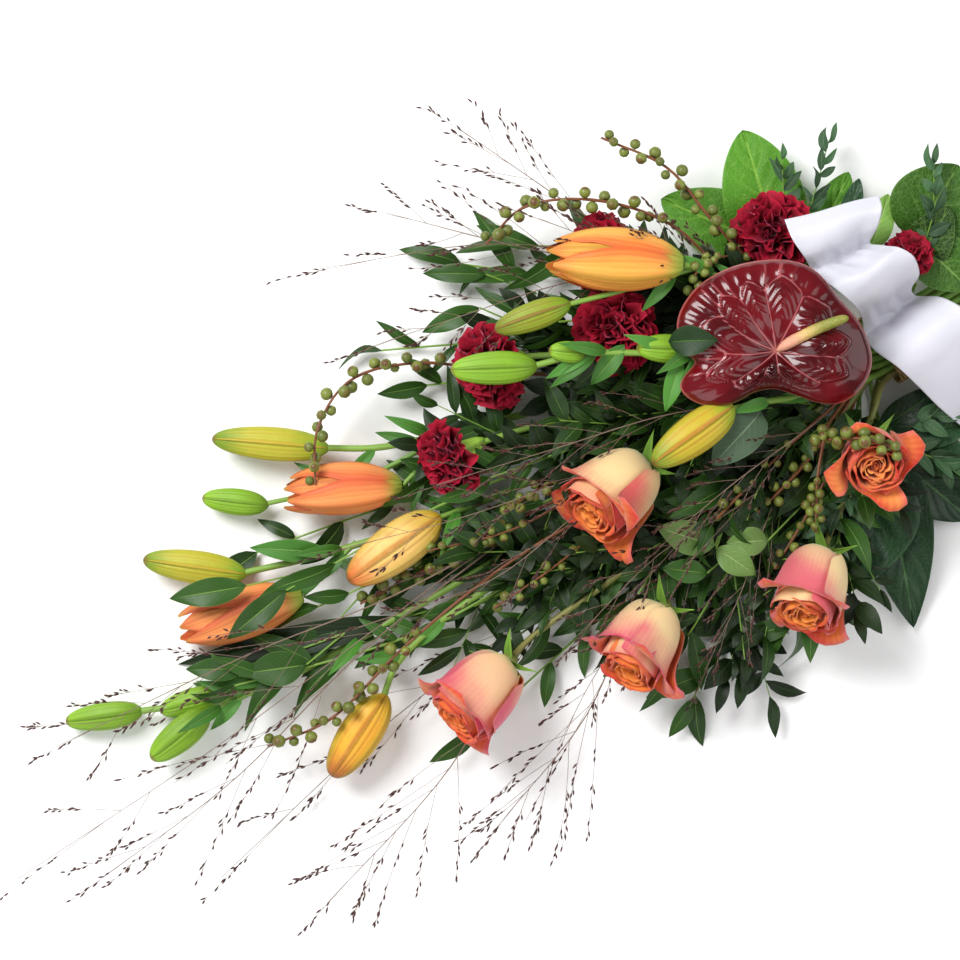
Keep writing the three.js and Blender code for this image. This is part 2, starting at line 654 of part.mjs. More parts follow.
// Carnations
const CARNATIONS = [
  { base: vec(-38, 108, 38), axis: vec(-0.05, 0.25, 0.96), radius: 33, slot: slot(4, 3.5, 112),
    way: [vec(-38, 64, 26)], petals: 8 },
  { base: vec(-166, 106, 52), axis: vec(-0.4, 0.3, 0.86), radius: 34, slot: slot(4, 1.5, 98),
    way: [vec(-90, 60, 36)], petals: 8 },
  { base: vec(-146, 158, 40), axis: vec(-0.6, 0.66, 0.42), radius: 31, slot: slot(4, 2.5, 120),
    way: [vec(-80, 88, 28)], petals: 8 },
  { base: vec(-250, 130, 40), axis: vec(-0.84, 0.16, 0.52), radius: 34, slot: slot(3, 2, 104),
    way: [vec(-110, 64, 30), vec(-190, 104, 30)], petals: 8 },
  { base: vec(-301, 90, 44), axis: vec(-0.9, 0.1, 0.4), radius: 31, slot: slot(3, 1, 116),
    way: [vec(-140, 40, 32), vec(-230, 74, 34)], petals: 8 },
  { base: vec(33, 47, 46), axis: vec(0.5, 0.3, 0.8), radius: 20, slot: slot(3, 4, -19).slice(1).reverse(),
    way: [vec(32, 30, 24)], petals: 6 },
];
CARNATIONS.forEach(({ base, axis, radius, slot: start, way, petals }, k) => {
  axis.normalize();
  const path = [...start, ...way, along(base, axis, -CALYX_LENGTH * 0.7), along(base, axis, -4)];
  piece(`carnation_stem_${k + 1}`, 'calyx', (grow) => carnationStem(path, base, axis, grow));
  blooms.push([`carnation_${k + 1}`, 'carnation', (grow) => carnation(base, axis, radius, petals, grow)]);
});

// Lilies: each stem ends in its first bud, and the others branch off; green buds are in its node
const LILIES = [
  { name: 'a', slot: slot(4, 0.5, 88), way: [vec(-68, 72, 56), vec(-100, 116, 80)], radius: ROW_RADIUS[4],
    buds: [
      { base: vec(-108, 122, 88), tip: vec(-184, 174, 92), width: 40, look: 'lilyOrange', open: true },
      { base: vec(-190, 140, 90), tip: vec(-246, 152, 88), width: 20, look: 'lilyYellow',
        from: vec(-100, 116, 80), via: vec(-150, 128, 84) },
    ] },
  { name: 'b', slot: slot(4, -0.5, 108), way: [vec(-70, 52, 60), vec(-128, 66, 76), vec(-196, 104, 88)],
    radius: ROW_RADIUS[4],
    buds: [
      { base: vec(-226, 112, 90), tip: vec(-282, 142, 92), width: 22 },
      { base: vec(-198, 108, 90), tip: vec(-222, 128, 95), width: 14, from: vec(-180, 96, 86) },
      { base: vec(-136, 72, 79), tip: vec(-164, 90, 84), width: 20, from: vec(-118, 63, 74) },
    ] },
  { name: 'c', slot: slot(1, 1.5), way: [vec(-150, 60, 16), vec(-300, 106, 20), vec(-352, 124, 22)],
    radius: ROW_RADIUS[1],
    buds: [
      { base: vec(-386, 144, 20), tip: vec(-450, 190, 20), width: 24, look: 'lilyYellow' },
      { base: vec(-440, 128, 15), tip: vec(-478, 158, 14), width: 22, from: vec(-300, 106, 20),
        via: vec(-380, 112, 14) },
      { base: vec(-352, 92, 24), tip: vec(-424, 130, 30), width: 36, look: 'lilyOrange', open: true,
        from: vec(-300, 106, 20) },
    ] },
  { name: 'd', slot: slot(1, 0.5), way: [vec(-150, 34, 16), vec(-300, 52, 18), vec(-420, 78, 18)],
    radius: ROW_RADIUS[1],
    buds: [
      { base: vec(-482, 98, 17), tip: vec(-536, 142, 18), width: 24, look: 'lilyYellow' },
      { base: vec(-452, 62, 22), tip: vec(-540, 84, 24), width: 36, look: 'lilyOrange', open: true,
        from: vec(-400, 75, 18) },
      { base: vec(-344, 60, 34), tip: vec(-418, 54, 42), width: 34, look: 'lilyYellow',
        from: vec(-300, 52, 18) },
    ] },
  { name: 'e', slot: slot(1, -0.5), way: [vec(-200, 12, 16), vec(-400, 14, 16), vec(-520, 22, 16)],
    radius: ROW_RADIUS[1],
    buds: [
      { base: vec(-594, 52, 13), tip: vec(-646, 72, 12), width: 24 },
      { base: vec(-556, 22, 20), tip: vec(-606, 18, 24), width: 26, from: vec(-520, 22, 16) },
      { base: vec(-540, 32, 10), tip: vec(-582, 44, 10), width: 20, from: vec(-510, 21, 16) },
    ] },
  { name: 'f', slot: slot(1, -1.5), way: [vec(-200, -10, 16), vec(-360, -2, 24), vec(-420, -14, 28)],
    radius: ROW_RADIUS[1],
    buds: [
      { base: vec(-441, -30, 30), tip: vec(-500, -58, 24), width: 30, look: 'lilyYellow' },
    ] },
  { name: 'g', slot: slot(4, -2.5, 102), way: [vec(-60, -6, 50), vec(-110, 14, 72)], radius: ROW_RADIUS[4],
    buds: [
      { base: vec(-132, 21, 82), tip: vec(-196, 16, 92), width: 28, look: 'lilyYellow' },
    ] },
];
function lilyStem({ slot: start, way, radius, buds }, grow) {
  const [first, ...others] = buds;
  const solids = [tube([...start, ...way, first.base], radius, grow)];
  for (const { base, from, via } of others) {
    solids.push(tube(via ? [from, via, base] : [from, base], 2, grow, 4, STEM_STEP * 1.5));
  }
  const green = buds.filter(({ look }) => !look);
  return [...solids, ...green.map(({ base, tip, width }) => lilyBud(base, tip, width, grow))];
}
for (const lily of LILIES) {
  piece(`lily_stem_${lily.name}`, 'lilyGreen', (grow) => lilyStem(lily, grow));
}
LILIES.forEach((lily) => lily.buds.filter(({ look }) => look).forEach((bud, k) => {
  const { base, tip, width, open, look } = bud;
  blooms.push([`lily_bud_${lily.name}_${k + 1}`, look, (grow) => (
    open ? openingBud(base, tip, width, grow) : [lilyBud(base, tip, width, grow)])]);
}));

// Berry twigs
const BERRY_TWIGS = [
  { path: [...slot(2, 4.8, 84), vec(-58, 88, 42), vec(-72, 140, 60), vec(-80, 186, 62), vec(-108, 228, 56)],
    berries: 6, from: 0.62 },
  { path: [...slot(2, 2.5, 96), vec(-74, 74, 40), vec(-98, 150, 66), vec(-137, 194, 66), vec(-180, 214, 58),
    vec(-214, 206, 50)], berries: 6, from: 0.7 },
  { path: [...slot(2, 1.5, 104), vec(-70, 22, 15), vec(-160, 68, 23), vec(-240, 118, 18),
    vec(-300, 162, 28), vec(-346, 174, 38), vec(-382, 156, 42), vec(-403, 124, 44)],
  berries: 6, from: 0.76 },
  { path: [...slot(2, -1.5, 92), vec(-200, 4, 26), vec(-300, 8, 44), vec(-350, 4, 48), vec(-412, -6, 50),
    vec(-478, -22, 44), vec(-526, -16, 40)], berries: 5, from: 0.8 },
  { path: [...slot(2, -0.5, 110), vec(-220, 24, 26), vec(-340, 32, 30), vec(-420, 36, 24)],
    berries: 6, from: 0.8 },
  { path: [...slot(2, -3.5, 72), vec(-34, -12, 15), vec(-76, -25, 50), vec(-86, -30, 84),
    vec(-66, -42, 106), vec(-48, -62, 108)], berries: 5, from: 0.7 },
];
BERRY_TWIGS.forEach(({ path, berries, from }, k) => {
  piece(`berry_twig_${k + 1}`, 'berry', (grow) => berryTwig(path, berries, from, 11 + k, grow));
});

// Grass panicles, two or three to a node
const GRASSES = [
  { name: 'upper', branches: 4, paths: [
    [...slot(2, 3.2, 76), vec(-110, 122, 17), vec(-200, 200, 26), vec(-330, 256, 30)],
    [vec(-110, 122, 17), vec(-146, 196, 26), vec(-188, 288, 28)],
  ] },
  { name: 'tip', branches: 5, paths: [
    [...slot(2, 0.5, 70), vec(-300, 24, 30), vec(-420, 16, 56), vec(-540, 4, 60), vec(-732, -6, 24)],
    [vec(-300, 24, 30), vec(-400, 30, 54), vec(-500, 46, 56), vec(-652, 60, 38)],
  ] },
  { name: 'lower', branches: 4, paths: [
    [...slot(2, -2.5, 78), vec(-220, -36, 20), vec(-300, -34, 20), vec(-440, -46, 8), vec(-606, -80, 10)],
    [vec(-300, -34, 20), vec(-350, -56, 20), vec(-430, -98, 18), vec(-550, -134, 16)],
    [vec(-220, -36, 20), vec(-260, -66, 18), vec(-320, -112, 20), vec(-420, -150, 16)],
  ] },
];
for (const { name, branches, paths } of GRASSES) {
  piece(`grass_${name}`, 'grass', (grow) => paths.flatMap((path, k) => (
    panicle(path, branches, 31 + k * 7 + name.length, grow))));
}

blooms.forEach((bloom) => piece(...bloom));

// Leafy greenery: several stems of a kind to a node
const RUSCUS = [
  { name: 'upper', stems: [
    { path: [...slot(0, 1.5, 92), vec(-140, 90, 9), vec(-250, 150, 9), vec(-330, 190, 6)], leaves: 8 },
    { path: [slot(0, 1.5)[3], vec(-110, 110, 9), vec(-190, 170, 9), vec(-240, 210, 8)], leaves: 6 },
  ] },
  { name: 'tip', stems: [
    { path: [...slot(0, 0.5, 84), vec(-200, 48, 6), vec(-360, 84, 6), vec(-500, 112, 4)], leaves: 8 },
    { path: [slot(0, 0.5)[3], vec(-200, 10, 6), vec(-400, 6, 6), vec(-520, 30, 4)], leaves: 8 },
  ] },
  { name: 'lower', stems: [
    { path: [...slot(0, -0.5, 74), vec(-150, -34, 6), vec(-300, -64, 6), vec(-410, -86, 4)], leaves: 8 },
    { path: [slot(0, -0.5)[3], vec(-100, -60, 6), vec(-200, -112, 7), vec(-262, -150, 5)], leaves: 7 },
  ] },
];
for (const { name, stems } of RUSCUS) {
  piece(`ruscus_${name}`, 'ruscus', (grow) => stems.flatMap(({ path, leaves }, k) => (
    leafyStem(path, leaves, 51 + k * 5 + name.length, grow))));
}

// Big backing leaves: foot, tip, width and outline of each, on short twigs from the tie
const BIG_LEAVES = [
  { name: 'upper', path: [...slot(0, 2.5, 64), vec(-32, 70, 12), vec(-38, 100, 14)], leaves: [
    { foot: vec(-38, 98, 13.8), tip: vec(-16, 184, 20), width: 58 },
    { foot: vec(-38, 98, 13.8), tip: vec(-90, 172, 16), width: 52 },
    { foot: vec(-33, 74, 12), tip: vec(34, 120, 16), width: 36 },
  ] },
  { name: 'end', path: [vec(-27, 16.5, ROW_HEIGHT[3]), ...slot(3, 3).slice(1).reverse(),
    vec(32, 36, 22), vec(46, 56, 34)], leaves: [
    { foot: vec(45, 55.5, 33.8), tip: vec(98, 84, 42), width: 62 },
    { foot: vec(42, 51, 31), tip: vec(96, 34, 42), width: 48 },
  ] },
  { name: 'side', path: [...slot(0, -1.5, 80), vec(-44, -60, 7), vec(-58, -84, 10)], leaves: [
    { foot: vec(-57, -83, 9.9), tip: vec(-128, -134, 16), width: 66, outline: HEART },
    { foot: vec(-51, -72, 8.6), tip: vec(-92, -182, 6), width: 54, outline: HEART },
    { foot: vec(-45, -62, 7.2), tip: vec(-18, -136, 8), width: 46 },
  ] },
];
for (const { name, path, leaves } of BIG_LEAVES) {
  piece(`leaves_${name}`, 'salal', (grow) => [
    tube(path, ROW_RADIUS[0], grow),
    ...leaves.map(({ foot, tip, width, outline = OVAL }) => {
      const away = tip.clone().sub(foot);
      return leaf(foot, away.clone().normalize(), away.length(), width, grow,
        { outline, fold: 0.14, arch: 0.06, rows: 5, wave: 1.6, thickness: 1.3 });
    }),
  ]);
}

// Clears each piece of those before it and gives it its mesh
const spray = new THREE.Group();
spray.name = 'funeral_spray';
parts.forEach((part, k) => {
  let { solid } = part;
  for (const earlier of parts.slice(0, k)) solid = solid.subtract(earlier.keepOut);
  const [colour, roughness] = LOOKS[part.look];
  const material = new THREE.MeshStandardMaterial({ color: colour, roughness, metalness: 0 });
  const mesh = new THREE.Mesh(mainSkin(solid), material);
  mesh.name = part.name;
  spray.add(mesh);
});

export default spray;
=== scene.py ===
"""A tied funeral spray of roses, carnations, lilies and an anthurium, dressed over its solid model.

All shapes are worked out in millimetres in the frame of the solid model and stored in metres.
Flowers point along -X, the cut stem ends along +X and the spray lies on Z = 0."""

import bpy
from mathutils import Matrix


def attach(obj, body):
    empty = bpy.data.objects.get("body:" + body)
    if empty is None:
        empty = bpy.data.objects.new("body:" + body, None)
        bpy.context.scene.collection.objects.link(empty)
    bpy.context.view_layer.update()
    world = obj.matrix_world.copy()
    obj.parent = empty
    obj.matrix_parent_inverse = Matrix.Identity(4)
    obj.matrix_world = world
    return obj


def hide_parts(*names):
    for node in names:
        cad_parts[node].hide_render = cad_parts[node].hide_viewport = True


bl_info = {
    "name": "Funeral Spray",
    "version": (1, 0, 0),
    "blender": (4, 5, 0),
    "location": "View3D > Sidebar > Spray",
    "description": "Builds the flowers, greenery, ribbon and stage of a tied funeral spray",
    "category": "Object",
}

import math

import bmesh
import bpy
import numpy as np
from bpy.props import FloatProperty, FloatVectorProperty, IntProperty, PointerProperty
from mathutils import Vector

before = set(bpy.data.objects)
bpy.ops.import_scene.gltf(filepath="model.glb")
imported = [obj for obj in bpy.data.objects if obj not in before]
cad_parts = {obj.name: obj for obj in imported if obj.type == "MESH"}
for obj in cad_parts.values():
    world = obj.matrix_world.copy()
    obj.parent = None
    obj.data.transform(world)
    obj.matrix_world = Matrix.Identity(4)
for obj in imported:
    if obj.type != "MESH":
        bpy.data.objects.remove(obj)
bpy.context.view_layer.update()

MM = 0.001
PHOTO_TURN = math.radians(31)  # the spray's long axis in the picture, below the horizontal
PHOTO_CENTRE = (-302.5, 67.4)
UP = np.array([0.0, 0.0, 1.0])
GOLDEN_ANGLE = math.pi * (3 - math.sqrt(5))
FULL_TURN = 2 * math.pi
LINE_STEPS = 240  # equal stretches of a line between which places on it are looked up
FLOOR_GAP = 0.1  # what comes nearest to the floor stays this far above it
MERGE_METRES = 2e-6  # points nearer to each other than this become one
# A quarter turn and whole turns in radians, rounded as the shader formulas take them
QUARTER_TURN, ONE_TURN, TWO_TURNS, THREE_TURNS, TWELVE_TURNS = 1.5708, 6.2832, 12.566, 18.85, 75.4

# The stem bundle: rows of stems inside the tie
TIE_WALL, TIE_LENGTH, GAP = 2.8, 26.0, 0.3
BUNDLE_HALF_WIDTH = 24.6
ROW_RADIUS = (1.8, 2.8, 1.5, 2.6, 2.6)
ROW_GAP = 0.2
ROW_HEIGHT = [TIE_WALL + GAP + ROW_RADIUS[0]]
for below, above in zip(ROW_RADIUS, ROW_RADIUS[1:]):
    ROW_HEIGHT.append(ROW_HEIGHT[-1] + below + ROW_GAP + above)
TIE_HEIGHT = ROW_HEIGHT[4] + ROW_RADIUS[4] + GAP + TIE_WALL


def slot(row, place, end=118):
    """Four points of a stem in the bundle, from its cut end to the flower side of the tie."""
    y = place * (2 * ROW_RADIUS[row] + ROW_GAP)
    z = ROW_HEIGHT[row]
    return [(end, y * 1.12, z), (TIE_LENGTH * 0.8, y, z), (0, y, z), (-TIE_LENGTH * 0.8, y, z)]


def colour(code):
    """Linear colour of a six-digit hexadecimal display colour."""
    parts = [((code >> shift) & 255) / 255 for shift in (16, 8, 0)]
    return tuple(p / 12.92 if p <= 0.04045 else ((p + 0.055) / 1.055) ** 2.4 for p in parts)


# Sizes and colours that a user would change


def tone(name, about, code):
    return FloatVectorProperty(name=name, description=about, subtype="COLOR", size=3, min=0, max=1,
                               default=colour(code))


def count(name, about, value):
    return IntProperty(name=name, description=about, default=value, min=1, max=400)


def metres(name, about, value, low, high):
    return FloatProperty(name=name, description=about, default=value, min=low, max=high, unit="LENGTH")


class SprayColours(bpy.types.PropertyGroup):
    """Main colours of the flowers, the greenery and the ribbon."""

    cream: tone("Rose cream", "Pale ground of the outer rose petals", 0xF5D49A)
    blush: tone("Rose blush", "Pink of the outer petals' edges", 0xD8486A)
    coral: tone("Rose coral", "Ground of the warmest rose", 0xEE7444)
    heart: tone("Rose heart", "Orange of the inner rose petals", 0xF28C34)
    lip: tone("Rose lip", "Orange red of the inner petals' lips", 0xCC3624)
    crimson: tone("Carnation", "Crimson of the carnation petals", 0x880A1E)
    maroon: tone("Spathe", "Dark red of the waxy spathe", 0x620510)
    bud_green: tone("Bud green", "Closed lily buds", 0x7CA628)
    bud_yellow: tone("Bud yellow", "Lily buds about to open", 0xE6AE34)
    bud_orange: tone("Bud orange", "Opening lily buds", 0xF0923A)
    ruscus: tone("Ruscus", "Dark narrow leaves", 0x284C12)
    salal: tone("Backing leaf", "Broad backing leaves", 0x4C8A1C)
    satin: tone("Satin", "The ribbon", 0xDCDCE6)


class SpraySizes(bpy.types.PropertyGroup):
    """Sizes and counts that set how full the spray looks."""

    rose_radius: metres("Rose radius", "Reach of a full bloom's outer petals", 0.025, 0.015, 0.04)
    rose_length: metres("Rose length", "Foot to lip of a full bloom", 0.056, 0.03, 0.09)
    berry_radius: metres("Berry radius", "Mean radius of a berry", 0.0042, 0.002, 0.008)
    leaf_length: metres("Ruscus leaf", "Length of a ruscus leaf", 0.046, 0.02, 0.08)
    carnation_petals: count("Carnation petals", "Petals in a full carnation", 40)
    twig_berries: count("Berries", "Berries on a twig", 20)
    stem_leaves: count("Ruscus leaves", "Leaves on a ruscus stem", 15)
    filling_twigs: count("Filling twigs", "Small side twigs in a bunch of ruscus", 34)
    panicle_threads: count("Grass threads", "Side threads of a panicle", 11)


# Curves, frames and meshes


def unit(vectors):
    return vectors / np.maximum(np.linalg.norm(vectors, axis=-1, keepdims=True), 1e-9)


def step(low, high, x):
    """Smooth step: 0 below low, 1 above high, and 3t^2 - 2t^3 in between."""
    t = np.clip((x - low) / (high - low), 0, 1)
    return t * t * (3 - 2 * t)


def fine_line(points, per=24):
    """Centripetal Catmull-Rom line: for each stretch a cubic whose end slopes come from the
    neighbouring points, weighted by the square root of the distances."""
    p = np.asarray(points, float)
    p = np.vstack([2 * p[0] - p[1], p, 2 * p[-1] - p[-2]])
    d = np.maximum(np.linalg.norm(np.diff(p, axis=0), axis=1) ** 0.5, 1e-6)
    a, b, c, e = p[:-3], p[1:-2], p[2:-1], p[3:]
    d0, d1, d2 = d[:-2, None], d[1:-1, None], d[2:, None]
    m1 = ((b - a) / d0 - (c - a) / (d0 + d1) + (c - b) / d1) * d1
    m2 = ((c - b) / d1 - (e - b) / (d1 + d2) + (e - c) / d2) * d1
    t = np.linspace(0, 1, per, endpoint=False)[:, None, None]
    line = b + m1 * t + (-3 * b + 3 * c - 2 * m1 - m2) * t**2 + (2 * b - 2 * c + m1 + m2) * t**3
    return np.vstack([line.transpose(1, 0, 2).reshape(-1, 3), p[-2:-1]])


def sample(at, where, rows):
    """Rows of three numbers that are known at rising places, interpolated to other places."""
    return np.stack([np.interp(at, where, rows[:, k]) for k in range(3)], axis=1)


def smooth(points, number):
    """The Catmull-Rom line through the points, at a number of places evenly spaced along it."""
    line = fine_line(points)
    length = np.r_[0, np.cumsum(np.linalg.norm(np.diff(line, axis=0), axis=1))]
    return sample(np.linspace(0, length[-1], number), length, line)


def along(points, shares):
    """Places on a smooth line at shares of its length, and the headings there."""
    line = smooth(points, LINE_STEPS + 1)
    heading = unit(np.gradient(line, axis=0))
    at = np.clip(np.asarray(shares, float), 0, 1) * LINE_STEPS
    steps = np.arange(LINE_STEPS + 1)
    return sample(at, steps, line), unit(sample(at, steps, heading))


def seeded(seed, shape, low=0.0, high=1.0):
    """Random numbers between two limits, the same ones for the same seed."""
    return np.random.default_rng(seed).uniform(low, high, shape)


def frames(axes, ups):
    """Right-handed frames (rows: height, side, forward) whose forward runs along an axis."""
    z = unit(np.asarray(axes, float))
    ups = np.broadcast_to(np.asarray(ups, float), z.shape)
    x = unit(ups - (ups * z).sum(-1, keepdims=True) * z + 1e-7)
    return np.stack([x, np.cross(z, x), z], axis=-2)


def place(local, bases, turned):
    """Moves batches of points local[k, n, m, 3] into frames turned[k, 3, 3] at bases[k, 3]."""
    return np.einsum("knmi,kij->knmj", local, turned) + np.asarray(bases, float)[:, None, None, :]


def around(foot, axis, out, angle, rise):
    """A batch of surfaces about an axis through a foot: each point by its reach from the axis,
    its angle round it and its height along it."""
    local = np.stack(np.broadcast_arrays(out * np.cos(angle), out * np.sin(angle), rise), axis=-1)
    number = len(local)
    turned = frames(np.repeat(np.asarray([axis], float), number, 0), UP)
    return place(local, np.repeat(np.asarray([foot], float), number, 0), turned)


def round_about(turned, angle):
    """Headings at angles in the plane across the forward axes of frames."""
    return np.cos(angle)[:, None] * turned[..., 0, :] + np.sin(angle)[:, None] * turned[..., 1, :]


def level_sides(headings):
    """Level directions square to headings, to their left."""
    return unit(np.stack([-headings[:, 1], headings[:, 0], 0 * headings[:, 0]], axis=1))


def left_right(number):
    """1 and -1 in turn."""
    return np.where(np.arange(number) % 2, 1, -1)


class Skin:
    """Gathers batches of grids and makes them one closed mesh with two attributes: trace holds
    the share along a part, the share across it and its tone, mark its side and a random draw."""

    def __init__(self):
        self.points, self.quads, self.traces, self.looks, self.size = [], [], [], [], 0

    def grid(self, points, u, v, own=0.0, look=0, ring=False, side=0.0, draw=0.0):
        k, n, m, _ = points.shape
        index = np.arange(k * n * m).reshape(k, n, m) + self.size
        if ring:
            index = np.concatenate([index, index[:, :, :1]], axis=2)
        corners = [index[:, :-1, :-1], index[:, :-1, 1:], index[:, 1:, 1:], index[:, 1:, :-1]]
        quads = np.stack(corners, axis=-1).reshape(-1, 4)
        values = [np.reshape(x, (-1, 1, 1)) if np.ndim(x) == 1 else x for x in (u, v, own, side, draw)]
        trace = [np.broadcast_to(x, (k, n, m)) for x in values]
        self.points.append(points.reshape(-1, 3))
        self.quads.append(quads)
        self.traces.append(np.stack([*trace, 0 * trace[0]], axis=-1).reshape(-1, 6))
        self.looks.append(np.full(len(quads), look))
        self.size += k * n * m

    def make(self, name, finishes, nodes, sharp=50, laid=True):
        """One object of everything gathered, with the finishes of the given names. What would sink
        into the floor is laid on it: under 1 mm the height falls off exponentially towards the gap."""
        mesh = bpy.data.meshes.new(name)
        points, quads = np.concatenate(self.points), np.concatenate(self.quads)
        if laid:
            low, room = points[:, 2], 1 - FLOOR_GAP
            points[:, 2] = np.where(low < 1, FLOOR_GAP + room * np.exp(np.minimum(low - 1, 0) / room), low)
        points = points * MM
        mesh.vertices.add(len(points))
        mesh.vertices.foreach_set("co", points.astype(np.float32).ravel())
        mesh.loops.add(quads.size)
        mesh.loops.foreach_set("vertex_index", quads.astype(np.int32).ravel())
        mesh.polygons.add(len(quads))
        mesh.polygons.foreach_set("loop_start", np.arange(0, quads.size, 4, dtype=np.int32))
        mesh.polygons.foreach_set("material_index", np.concatenate(self.looks).astype(np.int32))
        mesh.update(calc_edges=True)
        traces = np.concatenate(self.traces).astype(np.float32)
        for label, part in (("trace", traces[:, :3]), ("mark", traces[:, 3:])):
            mesh.attributes.new(label, "FLOAT_VECTOR", "POINT").data.foreach_set("vector", part.ravel())
        work = bmesh.new()
        work.from_mesh(mesh)
        bmesh.ops.remove_doubles(work, verts=work.verts, dist=MERGE_METRES)
        bmesh.ops.recalc_face_normals(work, faces=work.faces)
        work.to_mesh(mesh)
        work.free()
        mesh.shade_smooth()
        mesh.set_sharp_from_angle(angle=math.radians(sharp))
        for label in finishes:
            mesh.materials.append(finish(label))
        piece = bpy.data.objects.new(name, mesh)
        bpy.context.collection.objects.link(piece)
        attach(piece, "root")
        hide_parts(*nodes)
        return piece


def add_tubes(skin, lines, radius, sides, look=0):
    """Round tubes along lines[k, n, 3]: at each place a ring of the given radius in the plane
    across the heading, and at both ends a ring of no radius, which closes the tube."""
    lines = np.asarray(lines, float)
    k, n, _ = lines.shape
    radius = np.broadcast_to(radius, (k, n)).astype(float)
    heading = unit(np.gradient(lines, axis=1))
    tests = np.abs(np.einsum("knj,ij->kin", heading, np.eye(3)[[2, 1, 0]]))
    best = np.argmin(tests.max(axis=2), axis=1)
    turned = frames(heading, np.eye(3)[[2, 1, 0]][best][:, None, :])
    angle = np.linspace(0, FULL_TURN, sides, endpoint=False)
    lines = np.concatenate([lines[:, :1], lines, lines[:, -1:]], axis=1)
    turned = np.concatenate([turned[:, :1], turned, turned[:, -1:]], axis=1)
    radius = np.concatenate([radius[:, :1] * 0, radius, radius[:, -1:] * 0], axis=1)[..., None, None]
    ring = np.cos(angle)[:, None] * turned[:, :, None, 0] + np.sin(angle)[:, None] * turned[:, :, None, 1]
    u = np.linspace(0, 1, n + 2)[None, :, None]
    skin.grid(lines[:, :, None] + radius * ring, u, angle[None, None] / FULL_TURN, 0.0, look, ring=True)


def add_stem(skin, points, radius, look=0, taper=0.15, sides=10, step_mm=7.0, seed=0, knots=0.0):
    """A tube along a smooth line that thins towards its end and, where given, swells at knots."""
    line = fine_line(points)
    number = max(6, int(np.linalg.norm(np.diff(line, axis=0), axis=1).sum() / step_mm))
    u = np.linspace(0, 1, number)
    swell = 1 + knots * np.maximum(0, np.sin(u * number * 0.9 + seed)) ** 6
    add_tubes(skin, smooth(points, number)[None], (radius * (1 - taper * u) * swell)[None], sides, look)


def add_rounds(skin, bases, axes, lengths, radius, n, m, look=0, own=0.0, bow=0.0):
    """Bodies round an axis: at share u of the length the reach is radius(u, angle), which is
    nothing at both ends, and the axis stands off sideways by the bow times 4u(1 - u)."""
    u = (1 - np.cos(np.linspace(0, np.pi, n)))[None, :, None] / 2
    angle = np.linspace(0, FULL_TURN, m, endpoint=False)[None, None, :]
    reach = np.broadcast_to(radius(u, angle), (len(bases), n, m)).copy()
    reach[:, [0, -1]] = 0
    lengths = np.broadcast_to(lengths, len(bases))[:, None, None]
    rise = np.broadcast_to(u * lengths, reach.shape)
    across = reach * np.sin(angle) + bow * 4 * u * (1 - u)
    local = np.stack([reach * np.cos(angle), across, rise], axis=-1)
    skin.grid(place(local, bases, frames(axes, UP)), u, angle / FULL_TURN, own, look, ring=True)


def add_blades(skin, middle, u, v, half, look, own, draw=0.0):
    """Thin closed sheets round middle surfaces [k, n, m, 3]: every point is moved half the
    thickness both ways along the normal, and not at all on the rim, where the faces meet. Side
    is 1 on the rim, on a leaf's upper face and on a petal's outer one."""
    normal = np.cross(np.gradient(middle, axis=1), np.gradient(middle, axis=2))
    normal[:, 0], normal[:, -1] = normal[:, 1], normal[:, -2]
    rim = np.ones(middle.shape[1:3])
    rim[[0, -1]] = 0
    rim[:, [0, -1]] = 0
    move = unit(normal) * (half * rim)[None, :, :, None]
    m = middle.shape[2]
    back = slice(m - 2, 0, -1)
    points = np.concatenate([middle + move, (middle - move)[:, :, back]], axis=2)
    fronts = [np.broadcast_to(share, middle.shape[:3]) for share in (u, v)]
    shares = [np.concatenate([front, front[:, :, back]], axis=2) for front in fronts]
    side = np.ones((1, middle.shape[1], 2 * m - 2))
    side[:, 1:-1, 1:m - 1] = 0
    skin.grid(points, *shares, own, look, True, side, draw)


def spans(n, m):
    """Share along, 0 to 1, and share across, -1 to 1, as arrays that broadcast over a batch."""
    return np.linspace(0, 1, n)[None, :, None], np.linspace(-1, 1, m)[None, None, :]


def outline(rise, fall):
    """Share of a leaf's half width: u^rise (1 - u)^fall, scaled to reach 1."""
    peak = rise / (rise + fall)
    scale = peak**rise * (1 - peak) ** fall
    return lambda u: (np.clip(u, 0, 1) ** rise * (1 - np.clip(u, 0, 1)) ** fall) / scale


LANCE, OVAL, HEART, SEPAL = outline(0.8, 1), outline(0.5, 0.74), outline(0.3, 0.85), outline(0.3, 1.3)


